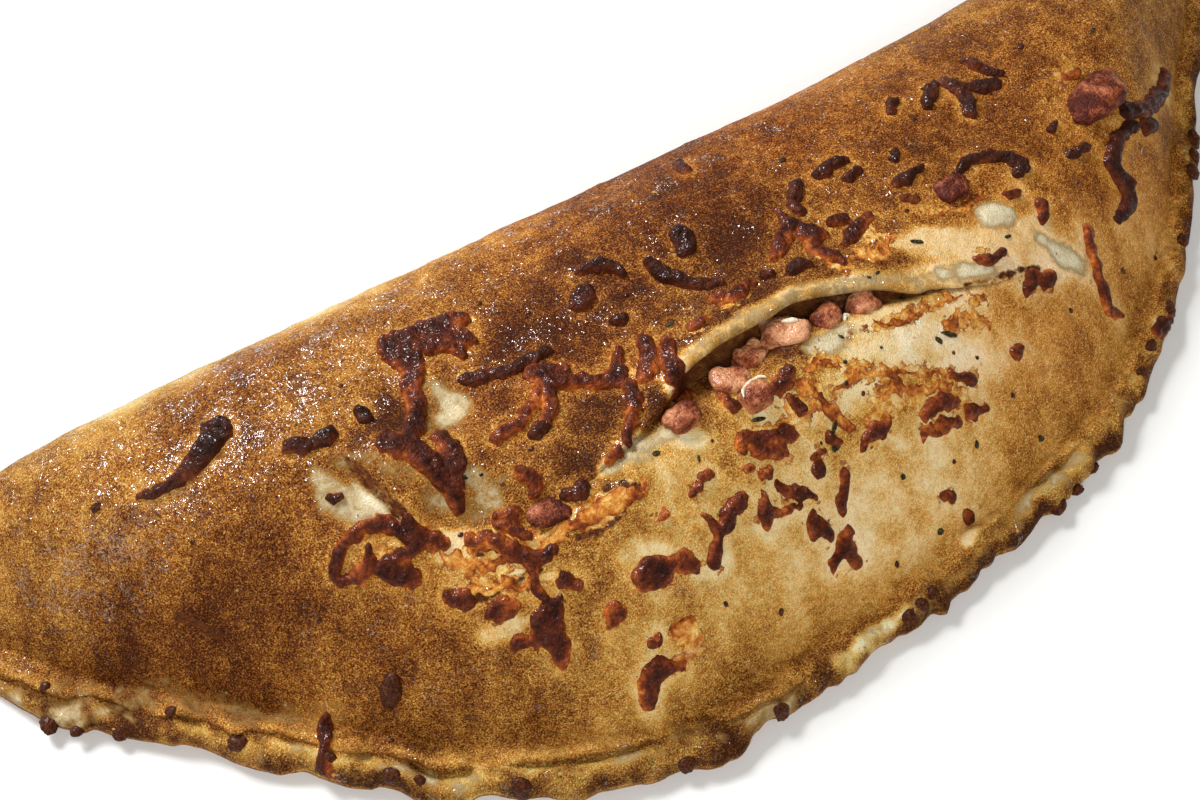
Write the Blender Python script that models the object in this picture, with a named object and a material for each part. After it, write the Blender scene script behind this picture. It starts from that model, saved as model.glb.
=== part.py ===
"""A baked panzerotto: a half-moon of folded dough with cheese shreds fused to its crust, ham in its slits.

The half-moon lies flat, its fold toward +Y and its sealed lip toward -Y. Lengths in the tables and
functions are millimetres; meshes are written in metres.
"""

import bpy
import bmesh
import numpy as np

MM = 0.001
SEED = 41

# The outline in plan, read at stations every 15 degrees: x = -HALF_LENGTH * cos(angle).
HALF_LENGTH = 157.5
STATIONS = np.radians(np.arange(0.0, 181.0, 15.0))
LIP_EDGE = (33.5, 24.5, 3.5, -20.0, -46.5, -61.5, -57.5, -50.5, -36.0, -9.0, 22.5, 40.5, 47.5)
FOLD_EDGE = (33.5, 43.5, 49.5, 50.5, 51.0, 51.0, 51.5, 52.5, 57.0, 61.5, 62.0, 58.5, 47.5)
LIP_WIDTH = (5.0, 7.0, 8.0, 9.0, 9.0, 9.0, 8.5, 8.0, 7.0, 6.0, 5.0, 5.0, 5.0)

# The dome over the filling.
DOME_HEIGHT = 46.0
LIP_HEIGHT = 6.0
LIP_ROUNDING = 2.5
LIP_RAGGEDNESS = 1.1
FRONT_SLOPE = 46.0
FRONT_SLOPE_RIGHT = 24.0
FOLD_SLOPE = 33.0
FOLD_SHARE = 0.28
RIGHT_DROP = 0.28
RIGHT_DROP_FROM, RIGHT_DROP_TO = 10.0, 120.0
SLOPE_CHANGE_FROM, SLOPE_CHANGE_TO = 60.0, 130.0
UNDERCUT = 12.0
UNDERCUT_SHARE = 0.12

# Broad lumps and dents of the crust: x, y, reach along x, reach along y, rise.
LUMPS = (
    (-97.0, 11.0, 15.0, 9.0, 2.0),
    (-67.0, -1.0, 5.5, 9.0, 1.8),
    (-54.0, 6.0, 5.0, 4.5, -2.6),
    (-60.0, -13.0, 6.0, 4.0, -1.6),
    (-47.0, -17.0, 6.0, 4.0, -1.8),
    (-33.0, 2.0, 12.0, 8.0, 1.6),
    (-30.0, -8.0, 7.0, 5.0, 1.2),
    (0.0, 22.0, 26.0, 10.0, 1.4),
    (20.0, -21.0, 14.0, 7.0, 1.6),
    (15.0, -24.5, 4.0, 3.0, -1.2),
    (-34.0, -32.0, 6.0, 3.0, -1.2),
    (62.0, -2.5, 4.5, 3.5, 1.0),
    (43.0, -7.0, 6.0, 3.0, -1.0),
    (-84.0, -25.0, 2.2, 1.8, 0.9),
    (100.0, 34.0, 14.0, 9.0, 1.2),
    (-118.0, 24.0, 12.0, 6.0, 1.2),
    (-78.0, 34.0, 11.0, 8.0, 1.6),
    (-10.0, -44.0, 26.0, 6.0, 1.0),
)

# The main slit: x, y of the raised flap's edge, width and depth of the gap before it, the flap's lift.
# Beyond the slit the same line is the seam of the mesh and has no depth.
SLIT = np.array((
    (-157.5, 33.5, 1.0, 0.0, 0.0),
    (-120.0, 14.0, 1.0, 0.0, 0.0),
    (-85.0, -6.0, 1.0, 0.0, 0.0),
    (-60.0, -14.0, 1.0, 0.0, 0.0),
    (-42.0, -18.0, 1.5, 0.3, 0.3),
    (-30.0, -16.0, 4.0, 2.0, 1.5),
    (-20.0, -12.0, 6.0, 3.5, 2.5),
    (-13.0, -7.0, 9.0, 4.5, 3.2),
    (-5.0, -5.5, 12.0, 5.0, 3.0),
    (5.0, -4.5, 10.0, 5.0, 3.0),
    (13.0, -5.5, 7.0, 4.5, 3.0),
    (21.0, -7.0, 5.5, 4.0, 2.5),
    (30.0, -9.5, 3.5, 3.0, 2.0),
    (40.0, -11.0, 1.6, 2.0, 1.4),
    (50.0, -13.0, 1.0, 1.4, 1.0),
    (60.0, -13.3, 0.8, 1.0, 0.6),
    (70.0, -12.5, 0.6, 0.0, 0.0),
    (95.0, 1.0, 1.0, 0.0, 0.0),
    (125.0, 24.0, 1.0, 0.0, 0.0),
    (157.5, 47.5, 1.0, 0.0, 0.0),
))
FLAP_THICKNESS = 0.8
FLAP_REACH = 8.0

# The short slits: start, end, lift of the flap on the right side, depth on the left side, width.
SHORT_SLITS = (
    ((-75.5, 7.0), (-70.0, -10.5), 2.2, 1.6, 6.0),
    ((-113.0, 5.0), (-107.0, -2.0), 0.7, 0.8, 2.0),
)

# The groove between lip and dome, where the seal shows open: x from, x to.
OPEN_SEAMS = ((-146.0, -128.0), (-111.0, -101.0), (-88.0, -79.0), (-67.0, -47.0), (28.0, 60.0))
SEAM_DEPTH = 1.4
SEAM_WIDTH = 1.6

# Cheese shreds on the crust, each a run of points x, y, width. Charred ones are nearly black.
CHARRED = (
    ((-93.0, 23.5, 6.0), (-97.0, 21.3, 4.6), (-102.0, 20.4, 2.8), (-108.0, 21.0, 1.9), (-110.5, 22.0, 1.2)),
    ((-83.0, 12.5, 3.2), (-79.0, 11.0, 2.6), (-75.5, 11.8, 3.6)),
    ((-80.5, 1.2, 2.0), (-79.0, 0.9, 1.6)),
    ((-68.4, 13.0, 3.2), (-68.2, 11.8, 3.0)),
    ((-48.5, 10.6, 1.8), (-45.5, 9.3, 3.0), (-41.0, 8.0, 2.5), (-36.0, 8.0, 3.0), (-32.5, 9.0, 2.8)),
    ((-42.2, -6.2, 3.4), (-40.8, -5.8, 3.0)),
    ((-20.8, 17.0, 5.2), (-19.6, 17.5, 5.0)),
    ((-18.0, 21.0, 1.6), (-14.5, 20.6, 2.8), (-12.2, 18.6, 3.0), (-11.5, 16.6, 1.8)),
    ((-18.0, 8.4, 1.6), (-16.2, 8.0, 2.6)),
    ((-6.0, 16.0, 2.4), (-5.0, 12.5, 3.0), (-2.5, 9.0, 2.8), (1.0, 6.0, 2.5), (3.8, 5.2, 1.6)),
    ((2.2, 18.0, 4.4), (2.0, 15.4, 4.8)),
    ((13.3, 37.0, 2.6), (12.8, 34.5, 2.8)),
    ((11.4, 2.4, 2.0), (12.6, 2.2, 1.8)),
    ((15.5, 0.0, 1.6), (18.0, 1.0, 2.8), (19.8, 0.6, 2.2)),
    ((25.9, 15.2, 2.4), (26.4, 13.6, 2.6)),
    ((27.4, 17.0, 2.2), (29.8, 19.6, 3.0)),
    ((34.5, 20.0, 2.4), (38.0, 20.5, 3.0), (41.5, 20.8, 1.8)),
    ((39.2, 16.4, 2.2), (41.8, 17.6, 2.2)),
    ((47.4, 11.0, 2.8), (49.4, 11.3, 3.0)),
    ((51.4, 12.0, 1.8), (53.4, 12.2, 2.4)),
    ((50.4, 16.6, 1.8), (51.4, 18.4, 2.0)),
    ((46.4, 7.2, 1.6), (48.2, 6.2, 2.2)),
    ((57.6, 28.6, 2.6), (58.8, 30.4, 2.8)),
    ((65.0, 26.6, 2.4), (67.5, 29.4, 3.2), (69.4, 31.0, 2.0)),
    ((71.8, 31.0, 2.4), (73.2, 28.5, 3.0), (73.2, 25.0, 3.0), (72.0, 21.6, 2.8)),
    ((75.5, 28.6, 2.4), (78.2, 27.2, 3.4), (81.6, 26.6, 2.6)),
    ((80.0, 34.8, 2.2), (81.5, 31.6, 2.4), (84.0, 28.4, 1.5)),
    ((85.4, 12.0, 2.0), (86.6, 12.8, 1.8)),
    ((86.0, 5.4, 2.0), (90.6, 7.0, 2.2)),
    ((109.0, 10.6, 2.4), (113.0, 12.2, 2.4)),
    ((-84.8, -25.2, 2.0), (-83.2, -25.8, 1.8)),
)
# Browned ones are a dark red-brown.
BROWNED = (
    ((-56.5, 24.6, 4.6), (-52.0, 24.6, 3.6), (-48.0, 24.2, 4.0), (-44.0, 24.0, 3.0), (-41.2, 23.6, 1.8)),
    ((-50.0, 22.0, 5.0), (-46.5, 20.6, 6.0), (-43.5, 19.0, 4.0)),
    ((-46.5, 20.0, 4.0), (-46.2, 16.0, 2.4)),
    ((-56.0, 23.0, 5.0), (-55.4, 18.5, 4.2), (-57.6, 14.0, 3.4), (-59.2, 9.4, 3.0), (-61.6, 5.4, 2.6)),
    ((-67.2, 4.4, 4.2), (-64.4, 0.4, 4.2), (-62.0, -4.0, 4.0), (-60.6, -8.0, 3.0), (-61.2, -11.2, 1.4)),
    ((-58.4, 1.0, 2.0), (-57.8, -3.0, 3.0), (-59.8, -6.6, 3.6)),
    ((-37.2, 5.4, 3.6), (-34.0, 3.4, 6.0), (-31.0, 0.8, 4.0), (-27.0, -1.6, 3.4), (-23.0, -2.6, 3.8)),
    ((-23.0, -2.6, 3.6), (-21.4, 0.4, 2.4), (-20.0, 3.2, 1.6)),
    ((-35.4, 1.8, 4.0), (-37.6, -3.0, 3.2), (-39.6, -5.6, 2.2)),
    ((-49.4, -3.6, 2.6), (-45.0, -3.0, 2.8), (-41.0, -1.0, 2.4), (-38.0, 1.4, 2.2)),
    ((-22.0, -5.6, 3.0), (-23.4, -9.0, 3.2), (-25.6, -12.0, 2.6), (-28.6, -14.8, 2.0)),
    ((-32.6, -16.8, 2.2), (-31.4, -16.2, 2.4)),
    ((-14.8, 1.6, 3.2), (-16.4, -2.4, 4.0), (-18.6, -5.4, 3.0)),
    ((-11.6, -0.6, 2.2), (-13.0, -4.4, 3.6), (-14.0, -8.4, 4.6)),
    ((-14.2, -8.8, 3.6), (-11.8, -10.4, 2.0)),
    ((-6.2, -1.0, 2.2), (-4.4, -1.2, 2.2)),
    ((0.6, 2.0, 2.4), (3.2, 0.8, 3.2), (6.0, 1.6, 2.4), (8.4, 2.0, 1.8)),
    ((22.0, 14.4, 2.0), (22.8, 11.0, 3.0), (24.8, 8.0, 4.0), (27.6, 5.8, 2.0)),
    ((22.4, 10.6, 3.0), (19.8, 9.0, 3.4), (17.0, 6.4, 3.0), (15.4, 4.6, 1.4)),
    ((24.4, 7.0, 3.4), (23.8, 3.4, 3.2), (25.6, 0.4, 3.0), (26.2, -1.8, 1.8)),
    ((30.8, 8.2, 2.8), (33.0, 7.8, 3.0)),
    ((30.4, 2.8, 2.4), (33.6, 4.4, 3.2), (37.2, 6.0, 2.4)),
    ((60.0, 8.6, 1.6), (63.2, 10.3, 2.6), (67.2, 10.2, 2.4), (71.0, 8.8, 2.8), (73.6, 6.0, 3.8),
     (71.6, 4.2, 2.0)),
    ((67.0, 1.2, 2.0), (69.6, 1.2, 2.2)),
    ((72.2, -4.6, 2.6), (73.6, -2.4, 2.2)),
    ((95.8, 22.4, 1.8), (99.0, 22.6, 2.0)),
    ((109.0, 13.8, 3.0), (112.5, 15.0, 2.4), (117.0, 17.2, 2.2), (123.0, 20.8, 2.0), (128.6, 24.6, 1.4)),
    ((105.4, 9.5, 2.2), (101.0, 8.0, 2.5), (97.4, 5.4, 2.8), (95.6, 2.8, 3.6), (97.0, 0.0, 4.0)),
    ((97.0, 0.4, 3.8), (96.4, -3.0, 3.4), (93.6, -5.0, 2.4), (91.4, -6.0, 1.4)),
    ((82.0, -8.2, 2.6), (81.0, -12.0, 2.2), (80.4, -16.0, 2.4), (80.6, -19.4, 3.0), (83.6, -20.6, 1.4)),
    ((61.6, -15.6, 2.4), (64.4, -14.0, 2.0), (66.6, -15.2, 3.0), (68.6, -14.4, 2.2)),
    ((53.4, -9.3, 1.8), (56.2, -10.0, 2.0), (59.2, -9.4, 1.8)),
    ((53.0, -24.6, 1.8), (55.0, -24.4, 2.0)),
    ((-76.0, -6.4, 2.2), (-80.0, -5.6, 2.2), (-84.2, -6.6, 2.4), (-85.6, -8.6, 2.0), (-83.4, -10.6, 2.4),
     (-80.4, -10.8, 2.4), (-78.8, -9.2, 1.4)),
    ((-79.6, -5.8, 2.6), (-75.4, -6.8, 3.0), (-72.0, -9.4, 3.0), (-69.2, -12.6, 3.2), (-66.4, -15.2, 2.0)),
    ((-78.0, -12.6, 3.4), (-75.6, -14.0, 4.4), (-74.0, -16.2, 3.0)),
    ((-73.8, -13.0, 2.4), (-71.0, -13.0, 2.6)),
    ((-69.0, -22.2, 2.4), (-66.4, -23.6, 3.2)),
    ((-64.0, -27.2, 2.2), (-61.8, -27.8, 3.0), (-59.6, -28.8, 1.8)),
    ((-57.6, -32.6, 2.6), (-54.8, -33.6, 4.6), (-52.2, -31.8, 2.6)),
    ((-54.8, -33.0, 4.6), (-54.6, -37.2, 4.0)),
    ((-61.4, -32.6, 1.8), (-59.4, -33.8, 2.2), (-56.6, -33.8, 2.2)),
    ((-50.2, -29.4, 2.0), (-48.0, -30.8, 2.0)),
    ((-53.6, -25.0, 2.6), (-54.6, -28.6, 1.6), (-53.4, -31.6, 1.8)),
    ((-44.8, -37.8, 2.6), (-43.0, -37.8, 2.8)),
    ((-36.8, -35.4, 3.8), (-33.0, -36.2, 3.4), (-30.0, -35.8, 2.0), (-28.0, -36.8, 3.0), (-25.8, -37.6, 2.6)),
    ((-11.4, -31.0, 2.0), (-14.6, -32.2, 2.6), (-18.2, -34.6, 2.6), (-22.8, -37.6, 2.8)),
    ((-20.8, -31.2, 1.8), (-19.6, -34.0, 2.2)),
    ((-42.6, -48.0, 4.2), (-41.0, -46.8, 3.2), (-37.4, -46.9, 1.8), (-34.4, -47.6, 1.1)),
    ((-33.4, -44.6, 2.2), (-31.0, -44.6, 2.6)),
    ((-8.6, -23.4, 3.0), (-5.8, -24.4, 3.4), (-4.2, -27.0, 3.6), (-1.8, -27.2, 3.0)),
    ((-4.0, -23.4, 2.0), (-1.4, -24.6, 2.8), (1.4, -25.4, 2.8)),
    ((-7.2, -29.0, 1.8), (-5.0, -28.8, 1.6)),
    ((-9.8, -27.4, 1.8), (-8.8, -27.6, 1.8)),
    ((4.0, -20.8, 2.0), (4.6, -22.8, 2.2)),
    ((-10.2, -31.4, 2.4), (-9.0, -33.8, 3.2), (-11.6, -35.2, 1.4)),
    ((-5.6, -31.4, 2.0), (-2.4, -33.4, 2.2), (1.2, -35.0, 1.1)),
    ((-0.8, -38.2, 3.8), (1.0, -38.8, 3.8)),
    ((5.8, -40.4, 1.8), (3.4, -42.0, 2.4), (0.6, -43.6, 2.0)),
    ((3.6, -41.8, 2.4), (6.0, -44.0, 2.4)),
    ((8.8, -33.2, 2.0), (7.6, -35.0, 2.2), (6.2, -37.0, 2.0)),
    ((2.8, -31.6, 1.6), (4.8, -31.4, 1.8)),
    ((4.0, -29.6, 1.4), (6.0, -29.6, 1.4)),
    ((14.0, -31.0, 1.4), (16.8, -29.6, 2.4), (20.4, -29.2, 2.2)),
    ((29.0, -29.6, 1.8), (32.6, -28.8, 2.4), (36.6, -29.2, 1.8)),
    ((27.0, -32.0, 1.4), (31.6, -31.8, 1.9), (36.6, -31.8, 1.2)),
    ((38.4, -31.0, 1.4), (42.4, -31.2, 1.8)),
    ((37.4, -25.4, 1.6), (40.0, -26.6, 2.2), (42.0, -26.6, 1.8)),
    ((8.2, -28.2, 1.6), (9.6, -28.8, 1.8)),
    ((28.0, -40.4, 1.4), (29.8, -40.8, 1.6)),
    ((32.2, -43.6, 1.6), (33.6, -43.8, 1.6)),
    ((-18.8, -26.2, 1.6), (-17.0, -25.6, 1.8)),
    ((-21.2, -27.8, 1.6), (-20.0, -27.2, 1.6)),
    ((-29.2, -28.8, 1.6), (-27.8, -28.4, 1.6)),
    ((-38.8, -43.6, 1.6), (-37.4, -43.4, 1.4)),
    ((-49.0, -11.6, 2.4), (-46.6, -13.4, 3.2), (-48.0, -15.4, 2.0)),
    ((-55.6, -16.0, 1.8), (-52.4, -17.0, 2.2)),
    ((-9.0, -14.0, 2.6), (-8.2, -17.6, 3.0)),
    ((3.4, -16.8, 2.6), (5.4, -16.0, 2.4)),
    ((-97.0, -21.8, 2.2), (-98.8, -25.4, 2.2), (-100.4, -28.2, 2.6)),
    ((90.8, -25.2, 2.6), (94.4, -24.2, 3.2), (98.0, -22.4, 2.4)),
)
# Melted ones are thin and golden, with browner edges.
MELTED = (
    ((-62.4, -17.8, 2.4), (-58.4, -19.4, 2.8), (-56.0, -22.0, 3.0), (-52.6, -24.0, 3.2), (-48.4, -24.0, 3.0)),
    ((-48.4, -24.0, 3.0), (-44.0, -23.6, 4.4), (-38.0, -24.0, 5.6), (-33.0, -24.2, 5.0), (-29.4, -23.6, 2.4)),
    ((-66.0, -23.4, 2.0), (-61.0, -24.6, 2.6), (-56.4, -26.4, 2.2), (-52.4, -26.0, 2.2)),
    ((-67.6, -14.0, 2.4), (-66.2, -18.0, 3.0), (-62.2, -21.0, 3.2), (-58.0, -23.0, 2.6)),
    ((5.0, -18.6, 3.0), (8.0, -20.6, 4.2), (10.4, -24.0, 3.2), (13.4, -27.4, 2.6)),
    ((8.6, -17.2, 2.6), (13.0, -17.0, 4.2), (17.6, -18.0, 3.4)),
    ((12.4, -22.2, 1.8), (15.4, -21.4, 1.8), (18.6, -20.6, 2.2), (22.0, -22.0, 2.6), (25.6, -24.0, 2.2)),
    ((20.4, -25.8, 2.2), (24.6, -25.2, 2.8), (29.0, -26.4, 2.2), (34.0, -27.0, 2.0), (37.6, -26.8, 1.8)),
    ((26.4, -22.8, 1.6), (31.0, -24.0, 1.8), (35.8, -24.8, 1.4)),
    ((24.0, -14.2, 1.8), (28.6, -14.4, 2.4), (33.4, -15.2, 2.4), (37.0, -14.4, 1.6), (42.0, -14.0, 1.6),
     (46.6, -14.4, 1.4)),
    ((41.0, -18.2, 2.0), (44.0, -18.0, 2.2)),
    ((46.8, -18.2, 2.2), (49.4, -19.6, 2.0)),
    ((48.4, -15.4, 1.6), (51.0, -16.4, 1.4)),
    ((30.4, -0.4, 2.2), (35.6, -2.6, 2.6), (38.6, 0.2, 2.2)),
    ((50.2, 2.4, 2.2), (53.0, 1.4, 2.4), (58.6, 1.4, 2.2), (61.2, 2.8, 2.2)),
)

# Diced ham: x, y, length, width, height, turn in degrees, share of its height above the crust.
HAM = (
    (26.5, -9.4, 7.4, 5.2, 5.2, 0.0, 0.62),
    (18.2, -9.8, 6.0, 5.6, 5.4, 20.0, 0.66),
    (9.2, -8.6, 9.4, 6.4, 6.2, -35.0, 0.68),
    (1.2, -9.4, 6.4, 5.6, 5.4, 10.0, 0.60),
    (-5.0, -12.6, 7.6, 6.0, 5.6, -20.0, 0.66),
    (-2.4, -18.2, 6.6, 5.2, 4.8, 5.0, 0.60),
    (-18.2, -16.0, 7.2, 5.6, 4.6, 10.0, 0.50),
    (-46.0, -19.0, 7.6, 5.6, 4.4, 0.0, 0.42),
    (56.2, 5.6, 7.8, 5.8, 4.6, 0.0, 0.45),
    (98.0, 16.2, 15.6, 10.4, 8.0, 12.0, 0.42),
)
HAM_CLEARANCE = 0.35
SHRED_CLEARANCE = 0.5

# How finely the solids are faceted.
CRUST_STATIONS = 74
ROWS_TO_SLIT = (0.0, 0.015, 0.05, 0.11, 0.19, 0.3, 0.42, 0.55, 0.68, 0.8, 0.9, 0.97, 1.0)
ROWS_TO_LIP = (0.018, 0.07, 0.14, 0.22, 0.33, 0.45, 0.57, 0.69, 0.78, 0.83, 0.88, 0.95, 1.0)
FUSED_SHREDS = 46
SHRED_SIDES = 6
SHRED_STEP = 3.6


def through(knots, values, where):
    """A smooth curve through values at knots: cubic pieces that share their slope at each knot."""
    knots = np.asarray(knots, float)
    values = np.asarray(values, float)
    slopes = np.gradient(values, knots)
    where = np.clip(where, knots[0], knots[-1])
    piece = np.clip(np.searchsorted(knots, where, side="right") - 1, 0, len(knots) - 2)
    gap = knots[piece + 1] - knots[piece]
    t = (where - knots[piece]) / gap
    start = (1 + 2 * t) * (1 - t) ** 2 * values[piece] + t * (1 - t) ** 2 * gap * slopes[piece]
    end = t**2 * (3 - 2 * t) * values[piece + 1] + t**2 * (t - 1) * gap * slopes[piece + 1]
    return start + end


def ease(value):
    """0 below 0, 1 above 1 and a soft step between."""
    value = np.clip(value, 0.0, 1.0)
    return value * value * (3 - 2 * value)


def noise(x, y, size, seed):
    """Random heights from -1 to 1 at the corners of a square lattice, blended softly between them."""
    lattice = np.random.default_rng(seed).uniform(-1, 1, (97, 89))
    column, row = np.floor(x / size).astype(int), np.floor(y / size).astype(int)
    across, along = ease(x / size - column), ease(y / size - row)
    corner = [[lattice[(column + i) % 97, (row + j) % 89] for j in (0, 1)] for i in (0, 1)]
    left = corner[0][0] * (1 - along) + corner[0][1] * along
    right = corner[1][0] * (1 - along) + corner[1][1] * along
    return left * (1 - across) + right * across


def edges(x):
    """The y of the lip's edge and of the fold's edge at x."""
    angle = np.arccos(np.clip(-x / HALF_LENGTH, -1, 1))
    return through(STATIONS, LIP_EDGE, angle), through(STATIONS, FOLD_EDGE, angle)


def distances(x, y):
    """How far a point lies inside the lip's edge and inside the fold's edge, measured square to them."""
    before, after = np.clip(x - 0.5, -HALF_LENGTH, HALF_LENGTH), np.clip(x + 0.5, -HALF_LENGTH, HALF_LENGTH)
    lip, fold = edges(x)
    (lip_before, fold_before), (lip_after, fold_after) = edges(before), edges(after)
    lip_slope = (lip_after - lip_before) / (after - before)
    fold_slope = (fold_after - fold_before) / (after - before)
    return (y - lip) / np.hypot(1, lip_slope), (fold - y) / np.hypot(1, fold_slope)


def slit_relief(x, y):
    """The main slit: a lifted flap behind the edge, a steep cut face, and a gap that rises again in front."""
    edge, width, depth, lift = (through(SLIT[:, 0], SLIT[:, k], x) for k in (1, 2, 3, 4))
    behind = y - edge
    flap = lift * np.exp(-np.maximum(behind, 0) / FLAP_REACH) * ease(1 + behind / FLAP_THICKNESS)
    gap = depth * (1 - ease(1 + behind / FLAP_THICKNESS)) * ease((behind + width) / (0.6 * width))
    return flap - gap


def short_slit_relief(x, y, start, end, lift, depth, width):
    """A short cut from start to end: its right side stands up, its left side is a torn hollow."""
    run = np.subtract(end, start)
    length = np.hypot(*run)
    along = ((x - start[0]) * run[0] + (y - start[1]) * run[1]) / length**2
    right = ((y - start[1]) * run[0] - (x - start[0]) * run[1]) / length
    reach = ease(np.minimum(along, 1 - along) / 0.3 + 0.3)
    flap = lift * np.exp(-np.maximum(right, 0) / width) * ease(1 + right / FLAP_THICKNESS)
    hollow = depth * ease(1 + right / width) * (1 - ease(1 + right / FLAP_THICKNESS))
    return reach * (flap - hollow)


def seam_relief(x, inside, lip_width):
    """The groove where the seal has opened between lip and dome."""
    shown = sum(ease((x - start) / 4) * ease((end - x) / 4) for start, end in OPEN_SEAMS)
    return -SEAM_DEPTH * shown * np.exp(-(((inside - lip_width) / SEAM_WIDTH) ** 2))


def top(x, y):
    """Height of the crust's upper side: a dome that rises from the lip and the fold, with its relief."""
    x, y = np.asarray(x, float), np.asarray(y, float)
    inside, from_fold = distances(x, y)
    lip_width = through(STATIONS, LIP_WIDTH, np.arccos(np.clip(-x / HALF_LENGTH, -1, 1)))
    to_right = ease((x - SLOPE_CHANGE_FROM) / (SLOPE_CHANGE_TO - SLOPE_CHANGE_FROM))
    reach = FRONT_SLOPE + (FRONT_SLOPE_RIGHT - FRONT_SLOPE) * to_right
    height = DOME_HEIGHT * (1 - RIGHT_DROP * ease((x - RIGHT_DROP_FROM) / (RIGHT_DROP_TO - RIGHT_DROP_FROM)))
    front = 1 - (1 - np.clip((inside - lip_width) / reach, 0, 1)) ** 2.4
    back = (1 - (1 - np.clip(from_fold / FOLD_SLOPE, 0, 1)) ** 2.1) ** 0.52
    rounding = 0.5 + 0.5 * np.sqrt(1 - (1 - np.clip(inside / LIP_ROUNDING, 0, 1)) ** 2)
    dome = LIP_HEIGHT * rounding + (height - LIP_HEIGHT) * front * (FOLD_SHARE + (1 - FOLD_SHARE) * back)

    relief = 1.3 * noise(x, y, 27, SEED) + 0.5 * noise(x, y, 10, SEED + 1) + slit_relief(x, y)
    for middle_x, middle_y, reach_x, reach_y, rise in LUMPS:
        relief = relief + rise * np.exp(-(((x - middle_x) / reach_x) ** 2) - ((y - middle_y) / reach_y) ** 2)
    for start, end, lift, depth, width in SHORT_SLITS:
        relief = relief + short_slit_relief(x, y, start, end, lift, depth, width)
    fade = ease((inside - 0.6 * lip_width) / 8) * (0.25 + 0.75 * ease(from_fold / 14))
    return dome + relief * fade + seam_relief(x, inside, lip_width)


def new_object(name, points, faces, material):
    """A mesh object from points in millimetres, with its faces turned outwards and shaded smooth."""
    mesh = bpy.data.meshes.new(name)
    mesh.from_pydata((np.asarray(points) * MM).tolist(), [], faces)
    shell = bmesh.new()
    shell.from_mesh(mesh)
    bmesh.ops.recalc_face_normals(shell, faces=shell.faces)
    shell.to_mesh(mesh)
    shell.free()
    mesh.shade_smooth()
    mesh.materials.append(material)
    piece = bpy.data.objects.new(name, mesh)
    bpy.context.scene.collection.objects.link(piece)
    return piece


def ring_faces(rings, sides):
    """Faces of a tube of closed rings, with a pole point before the first ring and one after the last."""
    last = rings * sides + 1
    faces = [(0, 1 + (k + 1) % sides, 1 + k) for k in range(sides)]
    for ring in range(rings - 1):
        here, there = 1 + ring * sides, 1 + (ring + 1) * sides
        faces += [(here + k, here + (k + 1) % sides, there + (k + 1) % sides, there + k)
                  for k in range(sides)]
    faces += [(last - sides + k, last - sides + (k + 1) % sides, last) for k in range(sides)]
    return faces


def finish(name, colour, roughness):
    """A plain baked material."""
    material = bpy.data.materials.new(name)
    material.use_nodes = True
    shader = material.node_tree.nodes["Principled BSDF"]
    shader.inputs["Base Color"].default_value = (*colour, 1.0)
    shader.inputs["Roughness"].default_value = roughness
    shader.inputs["Metallic"].default_value = 0.0
    return material


def crust_section(x):
    """One closed cross-section at x: fold, over the dome to the lip's edge, back along the flat underside."""
    lip, fold = (float(value) for value in edges(x))
    seam = float(through(SLIT[:, 0], SLIT[:, 1], x))
    width = fold - lip
    ragged = LIP_RAGGEDNESS * float(noise(x, 0.0, 4.5, SEED + 2) + 0.6 * noise(x, 9.0, 11.0, SEED + 3))
    ragged *= min(1.0, width / 20)
    upper = [fold + (seam - fold) * share for share in ROWS_TO_SLIT]
    upper += [seam + (lip - seam) * share for share in ROWS_TO_LIP]
    upper = np.array(upper)
    height = top(np.full(upper.shape, x), upper)
    upper[-2:] -= ragged
    fold_height = height[0]
    inset = min(UNDERCUT, UNDERCUT_SHARE * width)
    lip_inset = min(2.0, 0.06 * width)
    edge = upper[-1]
    under = [(edge + 0.3 * lip_inset, 0.3 * height[-1]), (edge + lip_inset, 0.0)]
    under += [(edge + lip_inset + share * (width - lip_inset - inset), 0.0) for share in (0.33, 0.66, 1.0)]
    under += [(fold - inset * (1 - np.sin(turn)), fold_height * (1 - np.cos(turn)))
              for turn in np.radians((30, 60))]
    rows = list(zip(upper, height)) + under
    return [(x, y, z) for y, z in rows]


def crust_body(material):
    """The folded dough as sections carried from tip to tip."""
    share = np.linspace(0, 1, CRUST_STATIONS + 2)[1:-1]
    places = -HALF_LENGTH * (0.75 * np.cos(np.pi * share) + 0.25 * (1 - 2 * share))
    sections = [crust_section(float(x)) for x in places]
    points = [(-HALF_LENGTH, LIP_EDGE[0], LIP_HEIGHT / 2)]
    points += [point for section in sections for point in section]
    points += [(HALF_LENGTH, LIP_EDGE[-1], LIP_HEIGHT / 2)]
    return new_object("crust", points, ring_faces(len(sections), len(sections[0])), material)


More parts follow.
